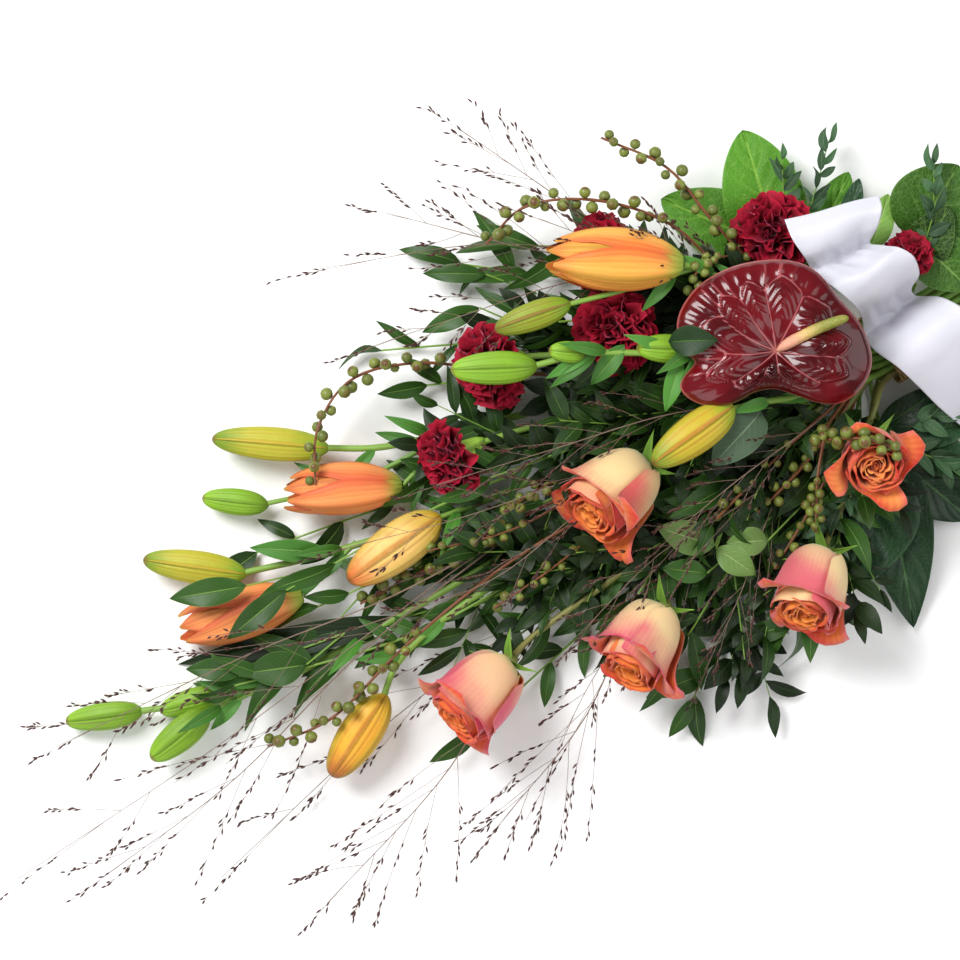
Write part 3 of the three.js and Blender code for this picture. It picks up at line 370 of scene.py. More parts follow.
def add_leaves(skin, bases, axes, lengths, widths, ups=UP, shape=LANCE, fold=0.22, arch=0.08, droop=0.0,
               wave=0.0, ribs=0.0, twist=0.0, seed=1, n=13, m=9, half=0.25, look=0):
    """Leaves: across, the half width times the outline; in height, a fold along the midrib, an
    arch that is a parabola of the share along, a droop that is its square, ripples of the edge,
    a groove along the midrib and low ridges where the side veins run forward from it."""
    k = len(bases)
    each = lambda x: np.broadcast_to(np.asarray(x, float), k)[:, None, None]
    u, v = spans(n, m)
    u = u**0.9
    rim = np.abs(v)
    length = each(lengths)
    reach = each(widths) / 2 * shape(u) * v
    height = fold * np.abs(reach) + each(arch) * length * (1 - (2 * u - 1) ** 2)
    height = height - each(droop) * length * u**2
    phase = seeded(seed, (k, 1, 1), 0, 6.28)
    height = height + wave * rim**1.5 * np.sin(u * 9 + phase + (v > 0) * 1.7)
    height = height + ribs * np.cos(FULL_TURN * (u * 7 - 2.2 * rim**0.9)) * (1 - rim) ** 0.5
    height = height - 0.25 * (ribs > 0) * np.exp(-((v / 0.12) ** 2))
    turn = each(twist) * u
    side = reach * np.cos(turn) - height * np.sin(turn)
    height = height * np.cos(turn) + reach * np.sin(turn)
    local = np.stack(np.broadcast_arrays(height, side, u * length + 0 * v), axis=-1)
    add_blades(skin, place(local, bases, frames(axes, ups)), u, v, half, look, seeded(seed + 5, k))


def add_leaf(skin, foot, tip, width, root=None, twig=0.8, **settings):
    """One leaf from its foot to its tip, on a short twig from a root where it has one."""
    if root:
        add_stem(skin, [root, foot], twig, 1, 0.2, 6)
    axis = np.subtract(tip, foot).astype(float)
    add_leaves(skin, [foot], [axis], np.linalg.norm(axis), width, UP, **settings)


# Shader expressions and finishes


class Value:
    """A socket of a finish's nodes that takes part in Python expressions as a number."""

    def __init__(self, finish, socket):
        self.finish, self.socket = finish, socket

    def math(self, operation, *values):
        return self.finish.add("ShaderNodeMath", {"operation": operation}, dict(enumerate(values)))

    def __add__(self, other):
        return self.math("ADD", self, other)

    def __sub__(self, other):
        return self.math("SUBTRACT", self, other)

    def __rsub__(self, other):
        return self.math("SUBTRACT", other, self)

    def __mul__(self, other):
        return self.math("MULTIPLY", self, other)

    def __pow__(self, other):
        return self.math("POWER", self, other)

    __radd__, __rmul__ = __add__, __mul__

    def size(self):
        return self.math("ABSOLUTE", self)

    def wave(self):
        return self.math("SINE", self)

    def stripes(self):
        """Soft stripes from 0 to 1, one to each full turn."""
        return self.wave() * 0.5 + 0.5

    def between(self, low, high):
        """Smooth step from 0 at low to 1 at high."""
        inputs = {"Value": self, "From Min": low, "From Max": high}
        return self.finish.add("ShaderNodeMapRange", {"interpolation_type": "SMOOTHSTEP"}, inputs)


class Finish:
    """A material whose nodes are all made by add and whose shader is set by surface. It hands out
    the mesh's attributes: u and v, the shares along and across, own, side and draw."""

    def __init__(self, name):
        self.material = bpy.data.materials.new(name)
        self.material.use_nodes = True
        self.nodes, self.links = self.material.node_tree.nodes, self.material.node_tree.links
        self.shader = self.nodes["Principled BSDF"]
        self.u, self.v, self.own = self.parts("trace")
        self.side, self.draw, _ = self.parts("mark")
        self.place = self.add("ShaderNodeTexCoord", {}, {}, "Object")

    def parts(self, name):
        """The three parts of a vector attribute of the mesh."""
        vector = self.add("ShaderNodeAttribute", {"attribute_name": name}, {}, "Vector")
        first = self.add("ShaderNodeSeparateXYZ", {}, {"Vector": vector}, "X")
        return [Value(self, socket) for socket in first.socket.node.outputs]

    def feed(self, socket, value):
        """Links a value to a socket, or sets the socket to a number or a colour."""
        if isinstance(value, Value):
            self.links.new(value.socket, socket)
        elif isinstance(value, tuple) and len(socket.default_value) == 4:
            socket.default_value = (*value, 1)
        else:
            socket.default_value = value

    def add(self, kind, settings, inputs, output=0):
        """Adds a node with its settings and inputs and hands out one of its outputs."""
        node = self.nodes.new(kind)
        for key, value in settings.items():
            setattr(node, key, value)
        for key, value in inputs.items():
            self.feed(node.inputs[key], value)
        return Value(self, node.outputs[output])

    def noise(self, scale, detail=2, coordinates=None):
        inputs = {"Vector": coordinates or self.place, "Scale": scale, "Detail": detail}
        return self.add("ShaderNodeTexNoise", {}, inputs)

    def mix(self, share, first, second):
        """Colour from first to second as share goes from 0 to 1."""
        return self.add("ShaderNodeMix", {"data_type": "RGBA"}, {0: share, 6: first, 7: second}, 2)

    def surface(self, base, roughness, bump=None, bump_mm=0.2, **sockets):
        """The finished material; further sockets are named with lines in place of spaces."""
        if bump is not None:
            inputs = {"Height": bump, "Strength": 1.0, "Distance": bump_mm * MM}
            sockets["Normal"] = self.add("ShaderNodeBump", {}, inputs, "Normal")
        for key, value in {"Base Color": base, "Roughness": roughness, **sockets}.items():
            self.feed(self.shader.inputs[key.replace("_", " ")], value)
        return self.material


def shade(ground, factor):
    """A colour made darker or lighter by a factor."""
    return tuple(min(1.0, part * factor) for part in ground)


def blend(first, second, share):
    """A mix of two colours with a share of the second."""
    return tuple(a * (1 - share) + b * share for a, b in zip(first, second))


def tones():
    """The user's colours as plain tuples by name."""
    group = bpy.context.scene.spray_colours
    return {key: tuple(getattr(group, key)) for key in SprayColours.__annotations__}


def sizes():
    return bpy.context.scene.spray_sizes


def mixed(recipe):
    """A colour from its six-digit code, or from the name of a user's colour, a factor and, where
    it is a blend, another name and that one's share."""
    if isinstance(recipe, int):
        return colour(recipe)
    first, factor, *other = recipe
    ground = tones()[first]
    if other:
        ground = blend(ground, tones()[other[0]], other[1])
    return shade(ground, factor)


# Colours of small features
TINTS = {
    "petal foot": 0xC3CC74, "carnation edge": 0xB01434, "cut end": 0xCFC79A, "bud's shaded side": 0x93A030,
    "bud's dry tip": 0x7A5228, "tepal foot": 0x9CB043, "tepal tip": 0xA8963C, "unripe berry": 0x4A561E,
    "ripe berry": 0x848E3A, "berry tip": 0x63401E, "berry foot": 0x3C3A16, "spathe vein": 0xCE7478,
    # the spathe rim tint on the next line is a painted highlight
    "spathe eye": 0xB86A5A, "spathe rim highlight": 0xC8706C, "spadix foot": 0xE8A48C, "spadix middle": 0xDCC070,
    "spadix tip": 0x7A8C2A, "spadix rim": 0xB98A5A, "twine shade": 0x7C6236, "twine light": 0xD0B37A,
    "paper": 0xFAFAFA, "white": 0xFFFFFF,
}


def tint(name):
    return colour(TINTS[name])


def petal_finish(name, ground, edge, heart, lip):
    """Rose petals: tone is 0 in the outer layer and 1 in the heart. Outside, the outer petals go
    from the ground to the edge colour, more so where the draw is high; their inner faces and the
    inner petals run from the heart colour to the lip colour."""
    f = Finish(name)
    cloud = f.noise(30, 3) - 0.5
    veins = (f.v * 50 + f.noise(60) * 5).stripes() * 0.04
    blush = f.u + f.v.size() ** 2.0 * 0.25 + cloud * 0.6 + veins + f.draw * 0.6
    outer = f.mix(cloud.size() * 0.8 + f.draw * 0.12, ground, blend(ground, edge, 0.35))
    outer = f.mix(blush.between(0.58, 1.3), outer, edge)
    outer = f.mix((f.u + cloud * 0.1).between(0.9, 1.02) * 0.5, outer, edge)
    outer = f.mix((1 - f.u).between(0.78, 1.0) * 0.8, outer, tint("petal foot"))
    inner = f.mix((f.u + veins + cloud * 0.5).between(0.66, 1.02), heart, lip)
    deep = f.mix((f.u + veins).between(0.84, 1.04), heart, blend(heart, lip, 0.45))
    inner = f.mix(f.own.between(0.5, 0.85), inner, deep)
    outside = f.mix(f.own.between(0.2, 0.5), outer, inner)
    base = f.mix(f.side, inner, outside)
    relief = (f.v * 60).wave() * 0.08 + f.noise(90, 3)
    return f.surface(base, 0.5 + veins, relief, 0.14, Sheen_Weight=0.2, Sheen_Roughness=0.5,
                     Specular_IOR_Level=0.3, Subsurface_Weight=0.2, Subsurface_Scale=0.004,
                     Subsurface_Radius=(1.0, 0.4, 0.2))


def carnation_finish(name, ground):
    """Carnation petals: nearly black at the foot, which is painted shade deep inside the bloom, lighter at
    the toothed edge, velvety.
    """
    f = Finish(name)
    edge = (f.u + (f.noise(120) - 0.5) * 0.2).between(0.72, 1.04)
    base = f.mix(edge, f.mix(f.own, shade(ground, 0.5), ground), tint("carnation edge"))
    # painted shade: towards their feet the petals go nearly black, where the bloom is deep
    base = f.mix((1 - f.u).between(0.45, 0.95), base, shade(ground, 0.12))
    return f.surface(base, 0.66, f.noise(260, 3), 0.2, Sheen_Weight=0.5, Sheen_Roughness=0.35,
                     Sheen_Tint=(0.9, 0.2, 0.34), Specular_IOR_Level=0.25)


def leaf_finish(name, ground, rib, gloss, veins=9, pale=0.5, net=0.0):
    """Leaves: a lighter midrib and side veins that run forward to the rim, a tone of its own for
    every leaf, a duller, paler underside, grain in the gloss and, where given, a net of fine
    veins."""
    f = Finish(name)
    across = f.v.size()
    midrib = 1 - across.between(0.015, 0.075)
    crests = ((f.u * veins - across * veins * 0.32) * ONE_TURN).wave().between(0.8, 1.0)
    side_veins = crests * (1 - across) * pale
    cloud = f.noise(22, 3)
    base = f.mix(f.own * 0.75 + cloud * 0.5 - 0.15, shade(ground, 0.42), shade(ground, 1.55))
    base = f.mix(side_veins * 0.5, base, rib)
    base = f.mix(midrib * 0.6, base, rib)
    base = f.mix(across.between(0.93, 1.0) * 0.3, base, shade(rib, 0.8))
    base = f.mix((1 - f.side) * 0.4, base, blend(shade(ground, 1.6), rib, 0.4))
    relief = cloud * 0.5 + f.noise(170, 2) * 0.4 - side_veins - midrib
    if net:
        inputs = {"Vector": f.place, "Scale": 330.0}
        cells = f.add("ShaderNodeTexVoronoi", {"feature": "DISTANCE_TO_EDGE"}, inputs)
        lines = 1 - cells.between(0.0, 0.12)
        base = f.mix(lines * net * 0.45, base, rib)
        relief = relief - lines * net
    return f.surface(base, gloss + cloud * 0.2, relief, 0.3, Specular_IOR_Level=0.32)


def stem_finish(name, foot, end, share=0.5, gloss=0.5):
    """Stems: a drift from one colour to another along the stem, fine streaks along it, specks and
    a pale cut end."""
    f = Finish(name)
    narrowed = f.add("ShaderNodeVectorMath", {"operation": "MULTIPLY"}, {0: f.place, 1: (0.12, 1.0, 1.0)})
    streak = f.noise(60, 3, narrowed)
    base = f.mix(f.u * share + streak * 0.6 - 0.2, foot, end)
    base = f.mix(f.noise(420, 1).between(0.66, 0.74) * 0.4, base, shade(end, 0.5))
    base = f.mix(f.u.between(0.004, 0.012), tint("cut end"), base)
    return f.surface(base, gloss, streak + f.noise(300, 2) * 0.3, 0.25)


def bud_finish(name, foot, middle, tip, rib, green=0.0):
    """Lily buds: colour from foot over middle to tip, darker seams between the three ribs, fine
    lines along, a brown end and, where a share of green is given, a greener side."""
    f = Finish(name)
    drift = f.noise(16) - 0.5
    seams = (f.v * THREE_TURNS + QUARTER_TURN + drift * 0.6).wave().between(0.86, 1.0)
    lines = (f.v * TWELVE_TURNS + drift * 2).wave().between(0.4, 1.0)
    base = f.mix((f.u + (f.noise(30, 3) - 0.5) * 0.3).between(0.02, 0.38), foot, middle)
    base = f.mix((f.u + (f.noise(40, 2) - 0.5) * 0.25).between(0.62, 1.02), base, tip)
    if green:
        shaded = (f.v * THREE_TURNS - QUARTER_TURN + drift).wave().between(0.2, 1.0)
        base = f.mix(shaded * green, base, tint("bud's shaded side"))
    base = f.mix(lines * 0.3, base, rib)
    base = f.mix(seams * 0.8, base, rib)
    base = f.mix((f.u + drift * 0.1).between(0.93, 0.985) * 0.7, base, tint("bud's dry tip"))
    base = f.mix(f.noise(190, 2).between(0.5, 0.8) * 0.2, base, shade(middle, 1.3))
    relief = (f.v * 160).wave() * 0.2 + f.noise(140, 3) - lines * 0.5 - seams
    return f.surface(base, 0.48, relief, 0.22, Specular_IOR_Level=0.35, Subsurface_Weight=0.08,
                     Subsurface_Scale=0.003, Subsurface_Radius=(1.0, 0.7, 0.3))


def tepal_finish(name, ground, edge, rib):
    """Opening lily tepals: green at the foot, a darker midrib, fine lines along, edges in a
    colour of their own and a drier tip."""
    f = Finish(name)
    across = f.v.size()
    stretched = f.add("ShaderNodeCombineXYZ", {}, {"X": f.u * 0.25, "Y": f.v * 2.6, "Z": f.own * 9})
    streak = f.noise(24, 4, stretched)
    lines = (f.v * 34 + streak * 4).stripes() * 0.35
    base = f.mix(across.between(0.3, 1.05) + lines * 0.6 + (streak - 0.5) * 0.8, ground, edge)
    base = f.mix((1 - across).between(0.84, 0.97) * 0.8, base, rib)
    base = f.mix((1 - f.u).between(0.8, 0.99), base, tint("tepal foot"))
    base = f.mix((f.u + (streak - 0.5) * 0.2).between(0.78, 1.0) * 0.6, base, shade(edge, 0.8))
    base = f.mix((f.u + f.noise(30) * 0.1).between(0.99, 1.1), base, tint("tepal tip"))
    base = f.mix((1 - f.side) * 0.5, base, edge)
    return f.surface(base, 0.5, lines + f.noise(120, 3), 0.3, Subsurface_Weight=0.1, Subsurface_Scale=0.003,
                     Subsurface_Radius=(1.0, 0.5, 0.2), Specular_IOR_Level=0.3)


def berry_finish(name):
    """Berries: each between unripe and ripe, with a brown flattened tip and a dark foot."""
    f = Finish(name)
    base = f.mix(f.noise(70, 3) * 0.6 + f.own * 0.5, tint("unripe berry"), tint("ripe berry"))
    tip = (f.u + (f.noise(260, 2) - 0.5) * 0.2).between(0.8, 0.93)
    base = f.mix(tip * (f.own * 0.7 + 0.3), base, tint("berry tip"))
    base = f.mix((1 - f.u).between(0.88, 1.0), base, tint("berry foot"))
    return f.surface(base, 0.34 + f.noise(200, 2) * 0.2, f.noise(240, 3), 0.2, Specular_IOR_Level=0.5)


def grass_finish(name, first, second, gloss, scale=80):
    """Two tones of one colour mixed by noise and by each piece's own value."""
    f = Finish(name)
    cloud = f.noise(scale, 3)
    return f.surface(f.mix(cloud * 0.7 + f.own * 0.4 - 0.05, first, second), gloss, cloud, 0.15)


def spathe_finish(name, ground):
    """Waxy spathe: tone is 1 on the raised veins, which are lighter, as is its eye; the pale pink rim is a
    painted highlight.
    """
    f = Finish(name)
    cloud = f.noise(26, 4)
    base = f.mix(cloud.between(0.3, 0.7), shade(ground, 0.35), shade(ground, 1.2))
    base = f.mix(f.own.between(0.4, 1.0) * 0.6, base, tint("spathe vein"))
    base = f.mix((1 - f.u).between(0.9, 1.0) * 0.4, base, tint("spathe eye"))
    # painted highlight: a pale pink band along the rim
    base = f.mix(f.u.between(0.975, 1.0) * 0.7, base, tint("spathe rim highlight"))
    return f.surface(base, 0.16 + cloud * 0.14, f.noise(70, 3), 0.35, Coat_Weight=0.4, Coat_Roughness=0.06,
                     Specular_IOR_Level=0.25)


def spadix_finish(name):
    """Spadix: pink over yellow to green along its length, with the cells of its tiny flowers."""
    f = Finish(name)
    base = f.mix(f.u.between(0.2, 0.5), tint("spadix foot"), tint("spadix middle"))
    base = f.mix(f.u.between(0.38, 0.72), base, tint("spadix tip"))
    cells = f.add("ShaderNodeTexVoronoi", {}, {"Vector": f.place, "Scale": 720.0}, "Distance")
    base = f.mix(cells.between(0.3, 0.75) * 0.4, base, tint("spadix rim"))
    return f.surface(base, 0.5, 1 - cells, 0.4)


def satin_finish(name, ground):
    """Satin: fine ribs across the weave, a tight selvage at both edges and a soft sheen."""
    f = Finish(name)
    weave = (f.v * 900).wave() * 0.5 + (f.u * 2600).wave() * 0.25
    selvage = f.v.size().between(0.955, 0.965)
    base = f.mix(f.noise(14, 2) * 0.5, shade(ground, 0.94), ground)
    base = f.mix(selvage * 0.25, base, ground)
    return f.surface(base, 0.34 + f.noise(40, 2) * 0.1, weave + selvage * 2, 0.035, Sheen_Weight=0.35,
                     Sheen_Roughness=0.3, Specular_IOR_Level=0.6, Anisotropic=0.4)


def twine_finish(name):
    """Twine: twisted strands, light on their backs and darker between them."""
    f = Finish(name)
    strands = (f.u * 1500 + f.v * TWO_TURNS).stripes()
    base = f.mix(strands * 0.6 + f.noise(200, 3) * 0.4, tint("twine shade"), tint("twine light"))
    return f.surface(base, 0.85, strands + f.noise(500, 2) * 0.5, 0.4)


# Every finish but the rose petals': its maker, its colours' recipes and its numbers. Leaves have
# ground and rib, gloss, side veins, their paleness and the net's strength. Buds have foot, middle,
# tip and rib, and the share of green; opening buds ground, edge and rib; stems foot and end.
FINISH_KINDS = {
    "twine_fibre": (twine_finish, ()),
    "satin_ribbon": (satin_finish, [("satin", 1)]),
    "spathe_wax": (spathe_finish, [("maroon", 1)]),
    "spadix_flowers": (spadix_finish, ()),
    "stem_green": (stem_finish, (0x5F8A35, 0x8DB045)),
    "stem_rose": (stem_finish, (0x5F7430, 0x8A7A40)),
    "twig": (stem_finish, (0x6E3A22, 0x8A5A30), 0.3, 0.6),
    "carnation_petal": (carnation_finish, [("crimson", 1)]),
    "calyx": (bud_finish, (0x84AE3C, 0xA4CC50, 0xB4CC74, 0x7FA845)),
    "bud_green": (bud_finish, [("bud_green", 0.75), ("bud_green", 1), ("bud_green", 1.25),
                               ("bud_green", 0.7)]),
    "bud_lime": (bud_finish, [("bud_green", 0.8), ("bud_green", 0.75, "bud_yellow", 0.2),
                              ("bud_green", 0.5, "bud_yellow", 0.2), 0x8A5A2C]),
    "bud_yellow": (bud_finish, [("bud_green", 0.9), ("bud_yellow", 1, "bud_green", 0.62),
                                ("bud_green", 0.7), ("bud_orange", 1, "bud_green", 0.55)]),
    "bud_gold": (bud_finish, [("bud_yellow", 1, "bud_green", 0.25), ("bud_yellow", 1, "bud_orange", 0.2),
                              0xB0602A, ("bud_orange", 0.5)], 0.45),
    "bud_peach": (bud_finish, [("bud_yellow", 1, "bud_green", 0.3), 0xEBBE6A, 0xD8743A, 0xBC7A34], 0.3),
    "bud_ribbed": (bud_finish, [("bud_green", 1), ("bud_yellow", 1, "bud_green", 0.42),
                                ("bud_green", 0.75), ("bud_orange", 0.55)], 0.3),
    "bud_open": (tepal_finish, (0xF4AE4C, 0xDE6C34, 0xB88A30)),
    "bud_salmon": (tepal_finish, (0xEE9654, 0xD4603A, 0xBE6A38)),
    "berry_skin": (berry_finish, ()),
    "grass_thread": (grass_finish, (0x6A5048, 0xA3907C), 0.7),
    "spikelet": (grass_finish, (0x1E0C0C, 0x5E3630), 0.45, 400),
    "sepal": (leaf_finish, (0x6F9A3A, 0xA6C266), 0.5),
    "bract_leaf": (leaf_finish, (0x3F7426, 0x8FB460), 0.4, 12, 0.2),
    "grey_leaf": (leaf_finish, (0x41573F, 0x7C9072), 0.5, 8, 0.3),
    "shade_leaf": (leaf_finish, (0x1E4214, 0x4E7834), 0.4, 9, 0.3),
    "ruscus_leaf": (leaf_finish, [("ruscus", 1), 0x7FA650], 0.34, 11, 0.25),
    # painted shade: the filling leaves are the ruscus colour darkened to about a quarter, for the shade deep
    # inside the spray
    "filling_leaf": (leaf_finish, [("ruscus", 0.26), 0x3A5C28], 0.4, 8),
    # painted shade: the deep leaves are the ruscus colour darkened to about two thirds, for leaves lying in
    # the spray's shade
    "deep_leaf": (leaf_finish, [("ruscus", 0.62), 0x648C40], 0.34, 11, 0.25),
    "olive_leaf": (leaf_finish, (0x5E7C3C, 0xA3B878), 0.4, 7, 0.6),
    "salal_leaf": (leaf_finish, [("salal", 0.85), 0x8FBE4A], 0.42, 5, 0.5, 0.6),
    "mid_leaf": (leaf_finish, [("salal", 0.36), 0x7FA850], 0.4, 5, 0.5, 0.6),
    "dark_leaf": (leaf_finish, (0x1A3A1E, 0x4A7040), 0.26, 5, 0.4, 0.25),
    "pale_leaf": (leaf_finish, (0x7CA84A, 0xB4CE84), 0.45, 5, 0.5),
    "sprig_leaf": (leaf_finish, (0x3C5E3C, 0x8AA67A), 0.5, 6, 0.3),
}
FINISHES = {}


def finish(name):
    """The finish of that name, made when it is first asked for."""
    if name not in FINISHES:
        maker, recipes, *numbers = FINISH_KINDS[name]
        FINISHES[name] = maker(name, *map(mixed, recipes), *numbers)
    return FINISHES[name]


# The tie, the ribbon and the anthurium


def tie_line(share):
    """Side and height of the tie's middle, by its share round: a rounded rectangle, given by the
    cosine and the sine of the angle raised to a power below one."""
    half, height, power = BUNDLE_HALF_WIDTH + TIE_WALL / 2, TIE_HEIGHT - TIE_WALL, 0.36
    angle = np.linspace(0, FULL_TURN, 400)
    y = half * np.sign(np.cos(angle)) * np.abs(np.cos(angle)) ** power
    z = height / 2 * np.sign(np.sin(angle)) * np.abs(np.sin(angle)) ** power + TIE_HEIGHT / 2
    length = np.r_[0, np.cumsum(np.hypot(np.diff(y), np.diff(z)))]
    at = (share % 1) * length[-1]
    return np.interp(at, length, y), np.interp(at, length, z)


TWINE_TURNS = 10


class SPRAY_OT_tie(bpy.types.Operator):
    """Twine wound round the stem bundle"""

    bl_idname = "spray.tie"
    bl_label = "Tie"

    def execute(self, context):
        """A spiral along the tie's line that wavers a little from turn to turn."""
        skin = Skin()
        share = np.linspace(0, TWINE_TURNS, TWINE_TURNS * 90)
        y, z = tie_line(share)
        x = TIE_LENGTH * 0.45 * (1 - 2 * share / TWINE_TURNS) + 0.25 * np.sin(share * FULL_TURN)
        line = np.stack([x, y, z], axis=1)
        add_tubes(skin, line[None], TIE_WALL / 2 - 0.02, 9)
        skin.make("twine_tie", ["twine_fibre"], ["tie"], laid=False)
        return {"FINISHED"}


SATIN_THICKNESS = 0.4
# Left and right edge of the ribbon, crease by crease, from its upper end to its tail
RIBBON_EDGES = np.array([
    [(-31, 113, 77), (34, 94, 72)], [(-34, 99, 83), (30, 85, 79)], [(-33, 85, 80), (22, 76, 74)],
    [(-31, 73, 66), (14, 69, 60)], [(-30, 66, 73), (20, 62, 71)], [(-26, 54, 82), (31, 48, 80)],
    [(-20, 38, 76), (31, 34, 70)], [(-17, 27, 54), (24, 27, 50)],
    [(-18, 16, TIE_HEIGHT + 1.2), (28, 20, TIE_HEIGHT + 1.2)], [(-20, 4, 46), (40, 10, 46)],
    [(-14, -14, 58), (50, -10, 56)], [(-8, -32, 52), (60, -30, 50)], [(0, -56, 38), (72, -52, 36)],
    [(12, -82, 18), (82, -72, 17)], [(24, -106, 7), (92, -94, 7)], [(36, -134, 1.3), (104, -120, 1.3)],
    [(52, -172, 1), (116, -146, 1)],
])


class SPRAY_OT_ribbon(bpy.types.Operator):
    """Bare white satin ribbon, pleated over the tie and running down to the surface"""

    bl_idname = "spray.ribbon"
    bl_label = "Ribbon"

    def execute(self, context):
        """Across, a straight line between the two edges. Off it stand soft waves and, at the two
        waists where the ribbon turns under, close pleats; the tail has one long ripple."""
        left, right = (fine_line(RIBBON_EDGES[:, side], 14) for side in (0, 1))
        v = np.linspace(-1, 1, 49)[None, :, None]
        middle = left[:, None] * (1 - v) / 2 + right[:, None] * (1 + v) / 2
        u = np.linspace(0, 1, len(left))[:, None]
        w = v[0, :, 0][None, :]
        tail = step(0.6, 0.78, u)
        waist = sum(np.exp(-(((u * 16 - row) / 1.0) ** 2)) for row in (3.2, 7.6))
        pleats = np.sin(w * 7 + 1.4 * np.sin(u * 19)) + 0.35 * np.sin(w * 15 - u * 31)
        gathers = (1 - tail) * (1.5 * waist * pleats + 1.0 * np.sin(w * 3.4 + u * 22)) * (1 - w**8)
        ripple = 1.6 * (0.5 + 0.5 * np.cos(w * np.pi + 2.5 * np.sin(u * 18)))
        crest = np.exp(-(((u * 16 - 5.0 + 0.5 * w) / 0.28) ** 2))
        crest = crest + 0.8 * np.exp(-(((u * 16 - 9.6 - 0.5 * w) / 0.5) ** 2))
        gathers = gathers + tail * ripple * (1 - step(0.82, 0.9, u)) + 1.6 * crest * step(-1.2, 0.2, w)
        normal = unit(np.cross(np.gradient(middle, axis=0), np.gradient(middle, axis=1)))
        middle = middle + normal * gathers[..., None]
        over = np.abs(middle[..., 0]) < TIE_LENGTH / 2 + 3
        over = over & (np.abs(middle[..., 1]) < BUNDLE_HALF_WIDTH + 6)
        middle[..., 2] = np.maximum(middle[..., 2], np.where(over, TIE_HEIGHT + 0.8, 0.5))
        skin = Skin()
        skin.grid(middle[None], u[None], w[None])
        piece = skin.make("satin_ribbon", ["satin_ribbon"], ["ribbon"], 70)
        wall = piece.modifiers.new("cloth thickness", "SOLIDIFY")
        wall.thickness, wall.offset = SATIN_THICKNESS * MM, 0.0
        return {"FINISHED"}


SPATHE_FOOT = np.array([-84.0, 39.0, 92.0])
SPADIX_TIP = np.array([-28.0, 33.0, 112.0])
# Angle round the foot in degrees and reach of the rim there
SPATHE_REACH = np.array([
    (-150, 33), (-122, 26), (-95, 34), (-68, 58), (-42, 66), (-20, 62), (8, 56), (38, 62), (72, 63),
    (94, 66), (116, 70), (134, 70), (150, 62), (157, 56), (170, 70), (188, 60),
], float)


def spathe_surface(n, m):
    """Heart-shaped sheet by angle and share of the reach: the rim follows the outline, the middle
    is a shallow dome, and raised veins fan out from the foot and bend towards a vein that runs
    round inside the rim. Between them the sheet swells, and outside it a comb of short ridges
    runs to the rim, strongest on the side away from the tip."""
    angle = np.radians(np.linspace(-150, 210, m, endpoint=False))
    ends = np.vstack([SPATHE_REACH[-1:] - (360, 0), SPATHE_REACH, SPATHE_REACH[:1] + (360, 0)])
    line = fine_line(np.c_[ends, np.zeros(len(ends))], 16)
    reach = np.interp(np.degrees(angle), line[:, 0], line[:, 1])
    s = np.linspace(0, 1, n)[:, None] ** 0.85
    a = angle[None, :]
    height = 3 + 7 * np.sin(s * np.pi * 0.8) - 6 * s**3 + 2.5 * s * np.cos(2 * a + 0.5)
    height = height - np.clip((a - 2.7) * 6, 0, 1) * 2 * s
    fans = np.radians(np.array([-126, -84, -46, -8, 32, 70, 104, 134, 164, 196]))
    middle = np.radians(28.0)
    away = np.arctan2(np.sin(a - middle), np.cos(a - middle))
    bent = middle + away * (1 + 0.2 * s * (1 - s * 0.3)) - 0.16 * np.sin(3 * away) * s
    gap = np.abs(np.angle(np.exp(1j * (bent[..., None] - fans)))) * (s * reach[None, :])[..., None]
    order = np.sort(gap, axis=-1)
    share = np.clip(2 * order[..., 0] / np.maximum(order[..., 0] + order[..., 1], 1e-6), 0, 1)
    arches = share[np.argmin(np.abs(s[:, 0] - 0.75))] ** 0.7
    ring = 0.60 + 0.17 * arches + 0.05 * np.cos(away)
    inside = step(0.03, -0.03, s - ring)
    vein = np.exp(-((order[..., 0] / 0.7) ** 2)) * inside
    rim = np.exp(-(((s - ring) / 0.013) ** 2))
    comb = np.abs(np.sin(a * 21 + 1.5 * np.sin(a * 3) + s * 3)) ** 6 * (1 - inside) * step(1.0, 0.93, s)
    comb = comb * (0.12 + 0.88 * step(-0.3, 0.6, np.cos(a - 1.9))) * (0.45 + 0.55 * np.sin(a * 3.7 + 1) ** 2)
    slant = np.abs(np.sin((s * 9 - share * 1.6 + 0.6 * np.sin(5 * a)) * np.pi)) ** 7
    slant = slant * inside * step(0.32, 0.5, s) * step(0.0, 0.35, share)
    veins = np.clip(vein + 0.9 * rim + 0.9 * comb + 0.35 * slant, 0, 1)
    swell = 3.5 * np.sqrt(share) * step(0.1, 0.4, s) * (1 - 0.45 * slant) * inside
    band = 1.3 * np.sin(np.clip((s - ring) / (1 - ring), 0, 1) * np.pi) ** 0.8 * (1 - inside)
    height = height + swell + band * (0.7 + 1.7 * comb) + 0.55 * vein + 0.35 * rim - 1.2
    height = height - 1.4 * step(0.95, 1.0, s)
    spread = s * reach[None, :]
    points = np.stack([spread * np.cos(a), spread * np.sin(a), height], axis=-1) + SPATHE_FOOT
    return points, s + 0 * a, veins


